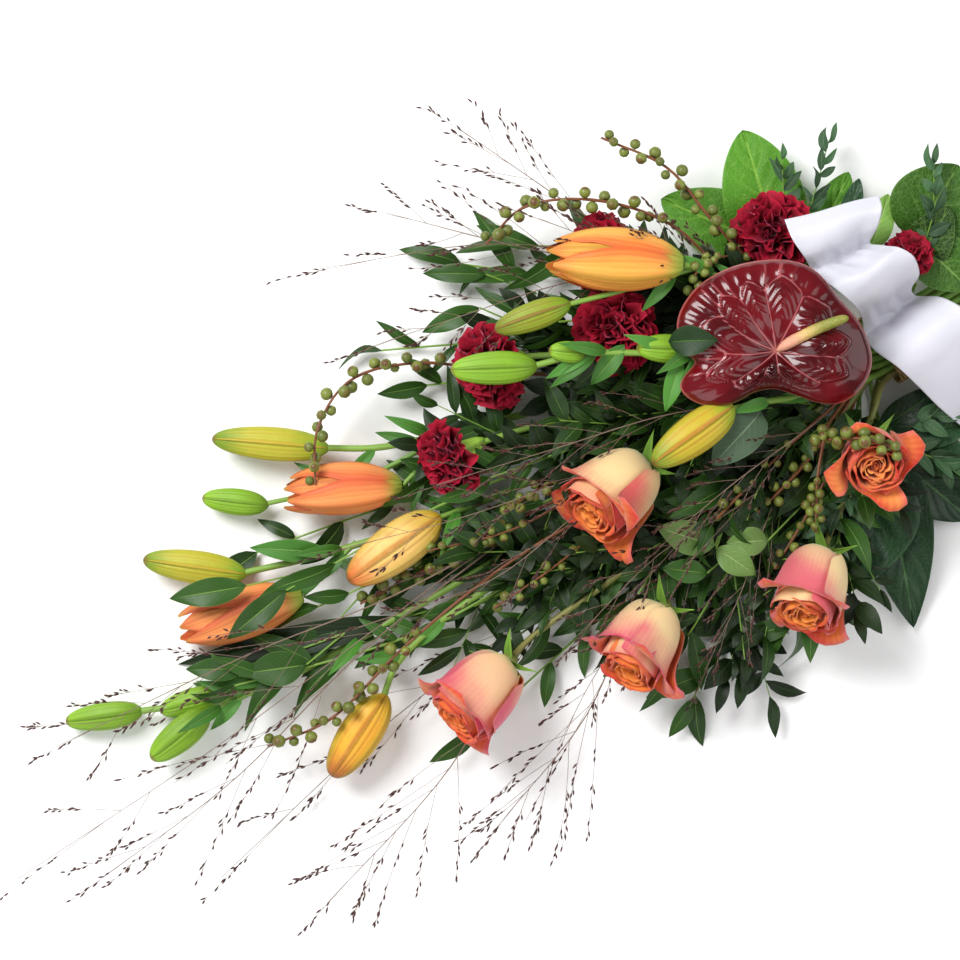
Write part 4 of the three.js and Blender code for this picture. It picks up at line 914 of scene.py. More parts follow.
class SPRAY_OT_anthurium(bpy.types.Operator):
    """Waxy spathe with raised veins, its spadix and its stem"""

    bl_idname = "spray.anthurium"
    bl_label = "Anthurium"

    def execute(self, context):
        top, s, veins = spathe_surface(56, 216)
        skin = Skin()
        thick = 0.75 * (1 - s**6)[..., None]
        under = top[::-1] - thick[::-1] * UP - 0.05 * UP
        both = np.concatenate([top, under], axis=0)[None]
        share = np.concatenate([s, s[::-1]], axis=0)[None]
        own = np.concatenate([veins, veins[::-1]], axis=0)[None]
        skin.grid(both, share, 0.0, own, 0, ring=True)
        skin.make("waxy_spathe", ["spathe_wax"], ["anthurium_spathe"], 70)

        foot = SPATHE_FOOT + 3.5 * UP
        axis = SPADIX_TIP - foot
        skin = Skin()
        ends = lambda u: (1 - (1 - u) ** 12) * np.sqrt(np.clip(1 - u**16, 0, 1))
        cells = lambda u, a: 1 + 0.05 * np.sin(a * 14 + u * 60) * np.sin(u * 110)
        reach = lambda u, a: (4.3 - 0.9 * u) * ends(u) * cells(u, a)
        add_rounds(skin, [foot], [axis], [np.linalg.norm(axis) * 0.92], reach, 80, 40, bow=-1.8)
        skin.make("spadix", ["spadix_flowers"], ["anthurium_spadix"], 180)

        skin = Skin()
        path = [*slot(4, -1.5, 96), (-58, 17, 50), (-76, 31, 74), tuple(SPATHE_FOOT + 2.0 * UP)]
        add_stem(skin, path, ROW_RADIUS[4], taper=0.1)
        skin.make("anthurium_stalk", ["stem_green"], ["anthurium_stem"])
        return {"FINISHED"}


# Roses and carnations

# Foot, axis, scale, stem's slot and way, paint, and the mixes for ground, edge and heart
ROSES = [
    ((-200, 16, 52), (-0.86, -0.14, 0.48), 1.08, slot(3, 0), [(-95, 6, 38)], "rose_cream",
     [("cream", 1, "coral", 0.04), ("blush", 1, "coral", 0.45), ("heart", 1, "cream", 0.05)]),
    ((-352, -52, 44), (-0.9, -0.24, 0.36), 1.05, slot(3, -1, 100), [(-150, -26, 34), (-260, -40, 38)],
     "rose_pink", [("cream", 1, "blush", 0.26), ("blush", 1, "coral", 0.05), ("heart", 1, "coral", 0.5)]),
    ((-240, -76, 44), (-0.8, -0.42, 0.42), 1.0, slot(3, -2, 125), [(-120, -46, 34)], "rose_cream",
     [("cream", 1, "blush", 0.05), ("blush", 1), ("heart", 1, "coral", 0.1)]),
    ((-124, -101, 46), (-0.66, -0.5, 0.55), 1.0, slot(3, -3, 108), [(-62, -58, 32)], "rose_orange",
     [("cream", 1), ("blush", 1, "cream", 0.12), ("heart", 1, "cream", 0.05)]),
    ((-60, -52, 56), (-0.16, -0.26, 0.95), 0.86, slot(4, -3.5, 90), [(-42, -34, 38)], "rose_orange",
     [("coral", 1, "heart", 0.1), ("blush", 1, "coral", 0.5), ("heart", 1, "cream", 0.12)]),
]

# Reach, petals, half span, height of the lip, radius and angle of its roll, closing, tone
ROSE_LAYERS = [
    (0.98, 4, 1.10, 0.91, 0.32, 2.00, 0.00, 0.0), (0.84, 4, 1.04, 0.98, 0.07, 1.20, 0.06, 0.12),
    (0.74, 5, 0.88, 1.00, 0.10, 1.15, 0.09, 0.42), (0.59, 4, 1.02, 1.01, 0.06, 1.00, 0.14, 0.6),
    (0.45, 4, 1.00, 1.00, 0.045, 0.9, 0.20, 0.75), (0.32, 3, 1.25, 0.98, 0.03, 0.8, 0.22, 0.88),
]

# For the two loose outer layers and the tight ones: where the roll of the lip begins, its share
# in the petal's middle, and what is added towards the corners
LIP_ROLLS = ((0.62, 0.24, 1.5), (0.76, 0.5, 0.6), (0.76, 0.62, 0.85))
PETAL_HALF_WALL = 0.32


def add_rose(skin, foot, axis, radius, length, seed):
    """Petals in six layers. A petal covers its span round the axis, narrower at its foot and
    rounded at its lip. Its reach grows as the sine of the root of the share up, closes in a
    little near the top, and near its end the lip rolls outwards along a circle. In the outer
    layer the roll begins earlier and takes mostly the corner that lies over the next petal.
    The heart is one sheet rolled into a spiral."""
    for layer, (reach, petals, span, top, roll, curl, closing, own) in enumerate(ROSE_LAYERS):
        u, v = spans(20, 13)
        loose = layer < 2
        begin, middle, corner = LIP_ROLLS[min(layer, 2)]
        rounded = 0.13 * np.abs(v) ** 1.8 if loose else 0.09 * np.abs(v) ** 3.5
        u = (1 - (1 - u) ** 1.35) * (1 - rounded)
        draw = seeded(seed * 31 + layer, (8, petals, 1, 1), -1, 1)
        start = np.arange(petals) / petals * FULL_TURN + layer * 1.9 + seed
        start = start[:, None, None] + 0.12 * draw[6]
        body = np.clip(u / 0.8, 0, 1)
        belly = 0.26 + 0.74 * np.sin(np.pi / 2 * np.sqrt(body)) - closing * step(0.5, 1.0, body)

        arc = radius * roll * (1 + 0.55 * draw[0])
        lean = v + 0.25 * draw[2]
        bend = middle + corner * lean**2 * np.where((lean < 0) & loose, 0.5, 1)
        turned_lip = np.minimum(curl * bend * (1 + 0.4 * draw[1]), 2.6)
        angle = np.clip((u - begin) / (0.98 - begin), 0, 1) * turned_lip

        wave = 0.04 * np.sin(v * 4 + draw[2] * 3) * step(0.45, 1.0, u)
        crease = 0.045 * np.exp(-(((v - 0.35 * draw[7]) / 0.16) ** 2)) * step(0.15, 0.75, u)
        covered = 0 if loose else 1
        stand = (0.09 - 0.04 * covered) * v
        stand = stand + 0.05 * np.abs(v) ** 4 * step(0.3, 0.9, u) * np.where(v < 0, covered, 1)
        drift = 0.03 * draw[3] * u * (layer != 1)
        out = radius * (reach * belly + stand + wave - crease + drift) + arc * (1 - np.cos(angle))

        tall = (length * top - arc) * (1 + 0.05 * draw[4] * (layer < 3))
        rise = tall * body**1.1 * (1 - 0.05 * np.abs(v) ** 2.4) + arc * np.sin(angle)
        narrow = 0.22 if loose else 0.36
        wide = span * (0.5 + 0.5 * step(0, 0.35, u)) * (1 - narrow * step(0.74, 1.0, u) ** 1.3)
        points = around(foot, axis, out, start + v * wide, rise)
        add_blades(skin, points, u, v, PETAL_HALF_WALL, 0, np.full(petals, own),
                   0.5 + 0.5 * draw[5][:, 0, 0])
    u, v = spans(9, 80)
    turn = (v + 1) / 2
    angle = turn * FULL_TURN * 2.6 + seed
    out = radius * (0.02 + 0.2 * turn) * (0.9 + 0.16 * step(0.7, 1, u))
    rise = length * (0.35 + 0.6 * u - 0.07 * turn * u + 0.015 * np.sin(angle * 1.5) * u)
    points = around(foot, axis, out, angle, rise)
    add_blades(skin, points, u, 0.3 * np.sin(angle * 1.5) + 0 * u, 0.3, 0, np.ones(1))


SEPAL_LEAN = (-0.6, 0.25, -0.5, 0.35, -0.2)  # of the five sepals: forwards or back along the axis


def add_rose_stalk(skin, foot, axis, start, way, k):
    """Stem with seven small thorns in golden-angle order, the hip and five sepals."""
    path = [*start, *way, foot - axis * 24]
    add_stem(skin, [*path, foot - axis * 4], ROW_RADIUS[3], knots=0.1, seed=k)
    hip = lambda u, a: 6.2 * np.sin(np.pi * np.clip(u * 0.8 + 0.12, 0, 1)) ** 0.7
    add_rounds(skin, [foot - axis * 8], [axis], 13.5, hip, 10, 14)
    turned = frames(axis[None], UP)[0]
    out = round_about(turned, (np.arange(5) + 0.5) / 5 * FULL_TURN) + 0.1 * turned[2]
    away = unit(out + np.array(SEPAL_LEAN)[:, None] * axis)
    add_leaves(skin, np.repeat([foot - axis * 2.5], 5, 0), away, 30.0, 8.0, axis, SEPAL, 0.3, 0.06,
               -0.12, seed=k + 40, n=12, m=7, half=0.4, look=1)
    places, headings = along(path, np.linspace(0.35, 0.93, 7) + 0.02 * k)
    point = round_about(frames(headings, UP), np.arange(7) * GOLDEN_ANGLE)
    add_rounds(skin, places + point * 1.6, point + 0.35 * headings, 4.2, lambda u, a: 1.0 * (1 - u), 5, 6)


class SPRAY_OT_roses(bpy.types.Operator):
    """Five roses in cream, pink and orange, with hips, sepals and stems"""

    bl_idname = "spray.roses"
    bl_label = "Roses"

    def execute(self, context):
        radius, length = sizes().rose_radius / MM, sizes().rose_length / MM
        for k, (foot, axis, scale, start, way, paint, mixes) in enumerate(ROSES):
            foot, axis = np.array(foot, float), unit(np.array(axis, float))
            name = f"rose_petal_{k + 1}"
            FINISHES[name] = petal_finish(name, *map(mixed, mixes), tones()["lip"])
            skin = Skin()
            add_rose(skin, foot, axis, radius * scale, length * scale, k + 2)
            skin.make(f"rose_bloom_{k + 1}", [name], [f"rose_{k + 1}"], 60)
            skin = Skin()
            add_rose_stalk(skin, foot, axis, start, way, k)
            skin.make(f"rose_stalk_{k + 1}", ["stem_rose", "sepal"], [f"rose_stem_{k + 1}"])
        return {"FINISHED"}


# Foot, axis, radius, stem's slot and way, share of a full bloom's petals
CARNATIONS = [
    ((-38, 108, 38), (-0.05, 0.25, 0.96), 33, slot(4, 3.5, 112), [(-38, 64, 26)], 1.0),
    ((-166, 106, 52), (-0.4, 0.3, 0.86), 34, slot(4, 1.5, 98), [(-90, 60, 36)], 1.0),
    ((-146, 158, 40), (-0.6, 0.66, 0.42), 31, slot(4, 2.5, 120), [(-80, 88, 28)], 0.9),
    ((-250, 130, 40), (-0.84, 0.16, 0.52), 34, slot(3, 2, 104), [(-110, 64, 30), (-190, 104, 30)], 1.0),
    ((-308, 90, 44), (-0.94, 0.02, 0.32), 31, slot(3, 1, 116), [(-140, 40, 32), (-230, 74, 34)], 0.95),
    ((33, 47, 46), (0.5, 0.3, 0.8), 20, slot(3, 4, -19)[:0:-1], [(32, 30, 24)], 0.6),
]
CALYX_LENGTH = 26


def add_carnation(skin, foot, axis, radius, petals, seed):
    """Fans spread over a dome in golden-angle order. Each fan widens outwards, its rim is cut
    into teeth, and it ruffles by waves of its lean that grow with the square of the share out."""
    u, v = spans(8, 15)
    k = np.arange(petals)[:, None, None]
    share = (k + 0.5) / petals
    draw = seeded(seed, (5, petals, 1, 1), -1, 1)
    polar = 0.02 + 1.6 * share**0.58 + 0.08 * draw[0]
    reach = radius * (1.0 - 0.1 * share + 0.05 * draw[1])
    saw = np.abs(((v * 4.5 + draw[2]) % 1) - 0.5) * 2
    tooth = 1 + (0.09 * (saw - 0.5) - 0.16 * np.abs(v) ** 3) * u**2
    distance = reach * (0.12 + 0.88 * u) * tooth * (0.86 + 0.14 * step(0.0, 0.3, share))
    ruffle = 0.17 * np.sin(v * 5.5 + draw[3] * 3 + k) + 0.08 * np.sin(v * 12 + k * 2)
    lean = polar + u**2 * ruffle + 0.1 * draw[4] * u
    wide = 0.64 * (0.35 + 0.65 * u) / np.maximum(0.4, np.sin(np.clip(lean, 0.05, 3)))
    spread = k * GOLDEN_ANGLE + v * wide
    rise = distance * np.cos(lean) * 0.86 + radius * 0.12
    points = around(foot - axis * 2, axis, distance * np.sin(lean), spread, rise)
    add_blades(skin, points, u, v, 0.22, 0, 0.5 + 0.5 * draw[1][:, 0, 0])


class SPRAY_OT_carnations(bpy.types.Operator):
    """Six crimson carnations with calyxes and stems"""

    bl_idname = "spray.carnations"
    bl_label = "Carnations"

    def execute(self, context):
        for k, (foot, axis, radius, start, way, full) in enumerate(CARNATIONS):
            foot, axis = np.array(foot, float), unit(np.array(axis, float))
            skin = Skin()
            add_carnation(skin, foot, axis, radius, int(sizes().carnation_petals * full), k + 70)
            skin.make(f"carnation_bloom_{k + 1}", ["carnation_petal"], [f"carnation_{k + 1}"],
                      60)
            skin = Skin()
            path = [*start, *way, foot - axis * CALYX_LENGTH * 0.7, foot - axis * 6]
            add_stem(skin, path, ROW_RADIUS[3], knots=0.12, seed=k)
            wall = lambda u: (4 + 4 * np.clip(u * 1.4, 0, 1)) * (1 - (1 - u) ** 10)
            cup = lambda u, a: wall(u) * (1 + 0.03 * np.sin(a * 5))
            add_rounds(skin, [foot - axis * CALYX_LENGTH], [axis], CALYX_LENGTH, cup, 16, 20, 1)
            skin.make(f"carnation_stalk_{k + 1}", ["stem_green", "calyx"], [f"carnation_stem_{k + 1}"])
        return {"FINISHED"}


# Lilies

# Name, slot's row, place and cut end, way, and buds: foot, tip, width, kind, node's number, side stem
LILIES = [
    ("a", (4, 0.5, 88), [(-68, 72, 56), (-100, 116, 80)], [
        ((-108, 122, 88), (-184, 174, 92), 42, "open", 1, None),
        ((-192, 140, 90), (-241, 150, 88), 20, "lime", 2, [(-100, 116, 80), (-150, 128, 84)])]),
    ("b", (4, -0.5, 108), [(-70, 52, 60), (-128, 66, 76), (-196, 104, 88)], [
        ((-233, 116, 90), (-281, 142, 92), 23, "green", 0, None),
        ((-200, 107, 90), (-217, 119, 94), 15, "green", 0, [(-180, 96, 86)]),
        ((-136, 72, 79), (-164, 90, 84), 20, "green", 0, [(-118, 63, 74)])]),
    ("c", (1, 1.5), [(-150, 60, 16), (-300, 106, 20), (-352, 124, 22)], [
        ((-386, 144, 20), (-450, 190, 20), 24, "yellow", 1, None),
        ((-444, 132, 15), (-478, 158, 14), 19, "green", 0, [(-300, 106, 20), (-380, 112, 14)]),
        ((-352, 92, 24), (-424, 130, 30), 36, "salmon", 2, [(-300, 106, 20)])]),
    ("d", (1, 0.5), [(-150, 34, 16), (-300, 52, 18), (-420, 78, 18)], [
        ((-482, 98, 17), (-536, 142, 18), 24, "yellow", 1, None),
        ((-452, 62, 22), (-540, 84, 24), 36, "salmon", 2, [(-400, 75, 18)]),
        ((-344, 60, 34), (-418, 54, 42), 34, "peach", 3, [(-300, 52, 18)])]),
    ("e", (1, -0.5), [(-200, 12, 16), (-400, 14, 16), (-520, 22, 16)], [
        ((-596, 52, 13), (-643, 72, 12), 20, "green", 0, None),
        ((-556, 25, 20), (-603, 18, 24), 23, "green", 0, [(-520, 22, 16)]),
        ((-540, 32, 10), (-582, 44, 10), 20, "green", 0, [(-510, 21, 16)])]),
    ("f", (1, -1.5), [(-200, -10, 16), (-360, -2, 24), (-420, -14, 28)], [
        ((-441, -30, 30), (-500, -58, 24), 30, "gold", 1, None)]),
    ("g", (4, -2.5, 102), [(-60, -6, 50), (-110, 14, 72)], [
        ((-132, 21, 82), (-196, 16, 92), 28, "ribbed", 1, None)]),
]


def add_bud(skin, foot, tip, width, look=0):
    """Closed bud: a blunt spindle of three tepals whose middles are ridges and whose seams are
    grooves, fullest before the middle."""
    foot, tip = np.array(foot, float), np.array(tip, float)
    axis = unit(tip - foot)
    start = foot - axis * 5
    swell = lambda u: np.sin(np.pi * (0.06 + 0.85 * u**0.84)) ** 0.62
    ends = lambda u: np.sqrt(np.clip((1 - (1 - u) ** 16) * (1 - u**18), 0, 1))
    seams = lambda a: np.exp(-((np.sin(1.5 * a) / 0.16) ** 2)) * 0.09
    ridge = lambda u, a: 1 - seams(a) * (0.4 + 0.6 * u) - 0.05 * np.cos(3 * a) + 0.03 * np.cos(6 * a)
    reach = lambda u, a: width / 2 * swell(u) * ridge(u, a) * ends(u)
    add_rounds(skin, [start], [axis], np.linalg.norm(tip - start), reach, 40, 48, look)


# How far the tips of an opening bud stand apart, and the inner and outer rings of its tepals:
# their size and their share of the length
OPEN_BUDS = {"open": 0.3, "salmon": 0.42}
TEPAL_RINGS = ((0.84, 0.99), (1.0, 0.98))


def add_open_bud(skin, foot, tip, width, parted, seed):
    """Opening bud: three inner and three outer tepals, each a broad slice of the spindle that
    ends in a blunt tip and leans out of it from the middle on, with a raised midrib between
    two shallow furrows, round a slim core."""
    foot, tip = np.array(foot, float), np.array(tip, float)
    axis = tip - foot
    length = np.linalg.norm(axis)
    u, v = spans(30, 17)
    rim = np.abs(v)
    for ring, (size, shorter) in enumerate(TEPAL_RINGS):
        draw = seeded(seed + ring, (5, 3, 1, 1), -1, 1)
        start = (np.arange(3) / 3 * FULL_TURN + ring * np.pi / 3 + 0.4)[:, None, None]
        swell = np.sin(np.pi * (0.06 + 0.83 * u**0.9)) ** 0.8
        open_ = step(0.45, 1.0, u)
        out = width / 2 * size * (swell + parted * open_ * (0.42 + 0.3 * draw[0]))
        out = out * (1 + 0.07 * np.exp(-((v / 0.16) ** 2)) - 0.05 * np.exp(-(((rim - 0.4) / 0.16) ** 2)))
        out = out - width * 0.03 * rim**3 * (1 - open_) + width * 0.03 * rim**4 * open_
        span = 1.12 * (0.6 + 0.4 * step(0, 0.2, u))
        span = span * (1 - 0.38 * step(0.4, 1.0, u) - 0.26 * step(0.9, 1.01, u))
        angle = start + v * span + 0.1 * draw[1] * open_
        rise = length * (shorter + 0.04 * draw[2]) * (u - 0.1 * open_ * rim**2.4)
        points = around(foot, axis, out, angle, rise)
        add_blades(skin, points, u, v, 0.5, 0, 0.5 + 0.5 * draw[3][:, 0, 0])
    core = lambda u, a: width * 0.2 * np.sin(np.pi * u) ** 0.5
    add_rounds(skin, [foot], [axis], length * 0.85, core, 12, 12)


# The look of the oval grey-green leaves, and the leaves with a place of their own: stem, foot,
# tip, width, look
GREY_LEAF = 3
LILY_LEAVES = [
    ("b", (-144, 82, 94), (-116, 66, 108), 21, 4), ("b", (-142, 68, 84), (-170, 42, 88), 13, 2),
    ("b", (-170, 96, 86), (-204, 84, 80), 14, 2), ("g", (-112, 8, 72), (-160, -6, 80), 29, 3),
    ("d", (-420, 78, 20), (-466, 110, 30), 16, 2), ("e", (-500, 24, 18), (-540, 50, 24), 18, 2),
]


class SPRAY_OT_lilies(bpy.types.Operator):
    """Seven lily stems with closed and opening buds"""

    bl_idname = "spray.lilies"
    bl_label = "Lilies"

    def execute(self, context):
        for k, (name, berth, way, buds) in enumerate(LILIES):
            stalk = Skin()
            path = [*slot(*berth), *way, buds[0][0]]
            add_stem(stalk, path, ROW_RADIUS[berth[0]], knots=0.06, seed=k)
            for j, (foot, tip, width, kind, number, side) in enumerate(buds):
                if side:
                    add_stem(stalk, [*side, foot], 2.0, taper=0.1)
                places, headings = along([*(side or way[-2:]), foot], [0.15, 0.6])
                swing = seeded(300 + k * 7 + j, (2, 3), -1, 1) * (0.5, 0.9, 0.4) + (0, 0, 0.25)
                add_leaves(stalk, places, headings + swing, 36.0 + 10 * swing[:, 0], 9.0, UP, LANCE, 0.3,
                           0.1, 0.2, seed=k * 9 + j, n=10, m=7, look=2)
                if kind == "green":
                    add_bud(stalk, foot, tip, width, 1)
                    continue
                bloom = Skin()
                if kind in OPEN_BUDS:
                    add_open_bud(bloom, foot, tip, width, OPEN_BUDS[kind], 90 + k * 5 + j)
                else:
                    add_bud(bloom, foot, tip, width)
                paint = "lily_orange" if kind in OPEN_BUDS else "lily_yellow"
                node = [f"lily_bud_{name}_{number}"]
                bloom.make(f"lily_{name}_bloom_{number}", [f"bud_{kind}"], node, 60)
            for j, (owner, foot, tip, width, look) in enumerate(LILY_LEAVES):
                if owner == name:
                    add_leaf(stalk, foot, tip, width, shape=OVAL if look == GREY_LEAF else LANCE, fold=0.2,
                             droop=0.05, wave=0.5, ribs=0.3, seed=j + 60, n=20, m=13, look=look)
            looks = ["stem_green", "bud_green", "bract_leaf", "grey_leaf", "shade_leaf"]
            stalk.make(f"lily_{name}_stalk", looks, [f"lily_stem_{name}"], 60)
        return {"FINISHED"}


# Berries, grasses and leaves

# Each twig's points and the share of its length where the berries begin
BERRY_TWIGS = [
    ([*slot(2, 4.8, 84), (-58, 88, 42), (-72, 140, 60), (-80, 186, 62), (-108, 228, 56)], 0.6),
    ([*slot(2, 2.5, 96), (-74, 74, 40), (-98, 150, 66), (-137, 194, 66), (-180, 214, 58),
      (-214, 206, 50)], 0.68),
    ([*slot(2, 1.5, 104), (-70, 22, 15), (-160, 68, 23), (-240, 118, 18), (-300, 162, 28), (-346, 174, 38),
      (-382, 156, 42), (-403, 124, 44)], 0.74),
    ([*slot(2, -1.5, 92), (-200, 4, 26), (-300, 8, 44), (-350, 4, 48), (-412, -6, 50), (-478, -22, 44),
      (-526, -16, 40)], 0.78),
    ([*slot(2, -0.5, 110), (-220, 24, 26), (-340, 32, 30), (-420, 36, 24)], 0.78),
    ([*slot(2, -3.5, 72), (-34, -12, 15), (-76, -25, 50), (-86, -30, 84), (-66, -42, 106),
      (-48, -62, 108)], 0.7),
]

# Side twigs of small berries among the flowers: the twig's number and the side twig's points
BERRY_CLUSTERS = [
    (1, [(-65, 108, 50), (-90, 116, 74), (-104, 112, 86)]),
    (2, [(-74, 74, 40), (-92, 92, 70), (-112, 104, 80)]),
    (4, [(-200, 4, 26), (-280, -10, 48), (-340, -14, 56)]),
    (5, [(-220, 24, 26), (-260, 40, 50), (-300, 40, 58)]),
    (5, [(-220, 24, 26), (-300, 26, 46), (-360, 44, 50)]),
    (6, [(-34, -12, 15), (-90, -36, 44), (-150, -52, 58)]),
    (6, [(-34, -12, 15), (-100, -60, 40), (-158, -92, 44)]),
    (6, [(-76, -25, 50), (-100, -50, 62), (-121, -84, 54)]),
    (6, [(-34, -12, 15), (-110, -24, 50), (-176, -40, 62)]),
]


def add_berries(skin, path, begin, number, radius, seed):
    """Round berries on short stalks, in golden-angle order round the twig, each with a
    flattened, dark-tipped end and a size of its own."""
    draw = seeded(seed, (4, number))
    shares = begin + (1 - begin) * (np.arange(number) + 0.4) / number
    places, headings = along(path, shares)
    turn = np.arange(number) * GOLDEN_ANGLE + draw[0]
    out = round_about(frames(headings, UP), turn)
    out = unit(out + 0.45 * headings * (draw[1][:, None] - 0.2) + 0.25 * UP)
    size = radius * (0.8 + 0.35 * draw[2])
    add_tubes(skin, np.stack([places, places + out * (size[:, None] * 0.7)], axis=1), 0.5, 5)
    ball = lambda u: np.sqrt(np.clip(1 - (2 * u - 1) ** 2, 0, 1))
    reach = lambda u, a: size[:, None, None] * ball(u) * (1 - 0.12 * step(0.86, 0.93, u))
    add_rounds(skin, places + out * 1.2, out, size * 1.95, reach, 8, 8, 1, draw[3])


class SPRAY_OT_berries(bpy.types.Operator):
    """Six reddish twigs with green, brown-tipped berries"""

    bl_idname = "spray.berries"
    bl_label = "Berries"

    def execute(self, context):
        number, radius = sizes().twig_berries, sizes().berry_radius / MM
        for k, (path, begin) in enumerate(BERRY_TWIGS):
            skin = Skin()
            add_stem(skin, path, ROW_RADIUS[2] * 1.05, taper=0.45, sides=7, knots=0.25, seed=k)
            add_berries(skin, path, begin, number, radius, 11 + k)
            for j, (twig, side) in enumerate(BERRY_CLUSTERS):
                if twig == k + 1:
                    add_stem(skin, side, 1.3 if twig == 6 else 0.9, taper=0.3, sides=6)
                    add_berries(skin, side, 0.5, number // 2, radius * 0.8, 400 + j)
            skin.make(f"berry_spray_{k + 1}", ["twig", "berry_skin"], [f"berry_twig_{k + 1}"])
        return {"FINISHED"}


# Each bunch: stalks of the panicles that fan out, then low ones among the flowers
GRASSES = [
    ("upper", [
        [*slot(2, 3.2, 76), (-110, 122, 17), (-200, 200, 26), (-330, 256, 30)],
        [(-110, 122, 17), (-146, 196, 26), (-188, 288, 28)],
        [(-110, 122, 17), (-190, 190, 30), (-262, 262, 32)]],
        [[(-60, 90, 17), (-110, 130, 50), (-150, 168, 84), (-176, 200, 88)],
         [(-80, 104, 17), (-170, 150, 60), (-260, 172, 70), (-322, 186, 60)],
         [(-60, 90, 17), (-96, 120, 70), (-118, 150, 96)]]),
    ("tip", [
        [*slot(2, 0.5, 70), (-300, 24, 30), (-420, 16, 56), (-540, 4, 60), (-728, -6, 24)],
        [(-300, 24, 30), (-400, 30, 54), (-500, 46, 56), (-652, 60, 38)],
        [(-300, 24, 30), (-430, 8, 48), (-560, -24, 40), (-676, -36, 22)]],
        [[(-90, 6, 17), (-170, 40, 64), (-250, 60, 78), (-330, 80, 80)],
         [(-120, 8, 17), (-220, 30, 60), (-320, 50, 66), (-410, 76, 60)],
         [(-120, 8, 17), (-240, 14, 52), (-330, 4, 66), (-430, 24, 60)]]),
    ("lower", [
        [*slot(2, -2.5, 78), (-220, -36, 20), (-300, -34, 20), (-440, -46, 8), (-606, -80, 10)],
        [(-300, -34, 20), (-350, -56, 20), (-430, -98, 18), (-550, -134, 16)],
        [(-220, -36, 20), (-260, -66, 18), (-320, -112, 20), (-420, -150, 16)]],
        [[(-80, -20, 17), (-150, -40, 54), (-220, -40, 66), (-300, -60, 60)],
         [(-80, -20, 17), (-140, -56, 44), (-190, -96, 48), (-236, -128, 36)],
         [(-60, -18, 17), (-96, -20, 60), (-150, -24, 74), (-214, -34, 70)],
         [(-120, -26, 17), (-200, -60, 40), (-290, -84, 48), (-350, -120, 30)]]),
]


def add_panicle(skin, path, threads, seed, begin, reach, each):
    """Side threads leave the upper part of the stalk in loose turns to left and right, each a
    gentle bow, and carry small pointed spikelets on short stalks in three loose groups over their
    outer part; the stalk's own end carries them too."""
    k = threads + 1
    draw = seeded(seed, (7, k))
    shares = begin + (0.97 - begin) * np.clip((np.arange(k) + 0.9 * (draw[5] - 0.5)) / k, 0, 1)
    shares[-1] = 0.9
    roots, headings = along(path, shares)
    side = level_sides(headings) * (left_right(k) * (0.1 + 0.55 * draw[0]))[:, None]
    side[-1] *= 0.1
    away = unit(headings + side)
    away[:, 2] += -0.05 + 0.2 * draw[1]
    length = np.linspace(*reach, k) * (0.7 + 0.45 * draw[2])
    length[-1] = np.linalg.norm(np.subtract(path[-1], roots[-1])) + 26
    t = np.linspace(0, 1, 12)
    bow = (draw[6][:, None] * 0.24 - 0.06) * np.sin(np.pi * t * 0.8)[None, :]
    way = bow[..., None] * side[:, None] + t[:, None] * away[:, None]
    lines = roots[:, None] + length[:, None, None] * way
    lines[..., 2] = np.maximum(lines[..., 2], 1.5)
    add_tubes(skin, lines, 0.2 * (1 - 0.4 * t)[None] * np.ones((k, 1)), 4)
    groups = np.array([0.48, 0.72, 0.93]) + seeded(seed + 1, (k, 3), -0.09, 0.07)
    jitter = seeded(seed + 5, (k, 3, each), -0.03, 0.03) + np.linspace(-0.075, 0.075, each)
    at = np.clip(groups[..., None] + jitter, 0, 1).reshape(k, -1) * 10.999
    low = at.astype(int)
    part = (at - low)[..., None]
    row = np.arange(k)[:, None]
    spots = lines[row, low] * (1 - part) + lines[row, low + 1] * part
    ahead = unit(lines[row, low + 1] - lines[row, low])
    swing = seeded(seed + 2, (k, 3 * each, 3), -1, 1) * (0.4, 0.4, 0.25)
    kept = seeded(seed + 8, (k, 3 * each)) < 0.85
    point, spots = unit(ahead + swing)[kept], spots[kept]
    feet = spots + point * (0.6 + 3.4 * seeded(seed + 3, len(spots))[:, None])
    feet[:, 2] = np.maximum(feet[:, 2], 2.0)
    add_tubes(skin, np.stack([spots, feet + point], axis=1), 0.2, 3)
    husk = lambda u, a: 0.78 * np.sin(np.pi * u**0.8) ** 0.8
    length = 3.2 + 2.4 * seeded(seed + 6, len(feet))
    add_rounds(skin, feet, point, length, husk, 5, 5, 1, seeded(seed + 4, len(feet)))


class SPRAY_OT_grasses(bpy.types.Operator):
    """Three bunches of panic grass with fine threads and dark spikelets"""

    bl_idname = "spray.grasses"
    bl_label = "Grasses"

    def execute(self, context):
        threads = sizes().panicle_threads
        for g, (name, fans, low) in enumerate(GRASSES):
            reach, each, fewer = ((82, 30), 3, 4) if name == "upper" else ((104, 46), 4, 0)
            skin = Skin()
            for k, path in enumerate(fans):
                add_stem(skin, path, 0.7, taper=0.7, sides=5, step_mm=12)
                add_panicle(skin, path, threads - fewer, 31 + k * 7 + g * 20, 0.42, reach, each)
            for k, path in enumerate(low):
                add_stem(skin, path, 0.6, taper=0.7, sides=5, step_mm=12)
                add_panicle(skin, path, threads, 431 + k * 7 + g * 20, 0.3, (62, 30), 3)
            skin.make(f"panic_grass_{name}", ["grass_thread", "spikelet"], [f"grass_{name}"])
        return {"FINISHED"}


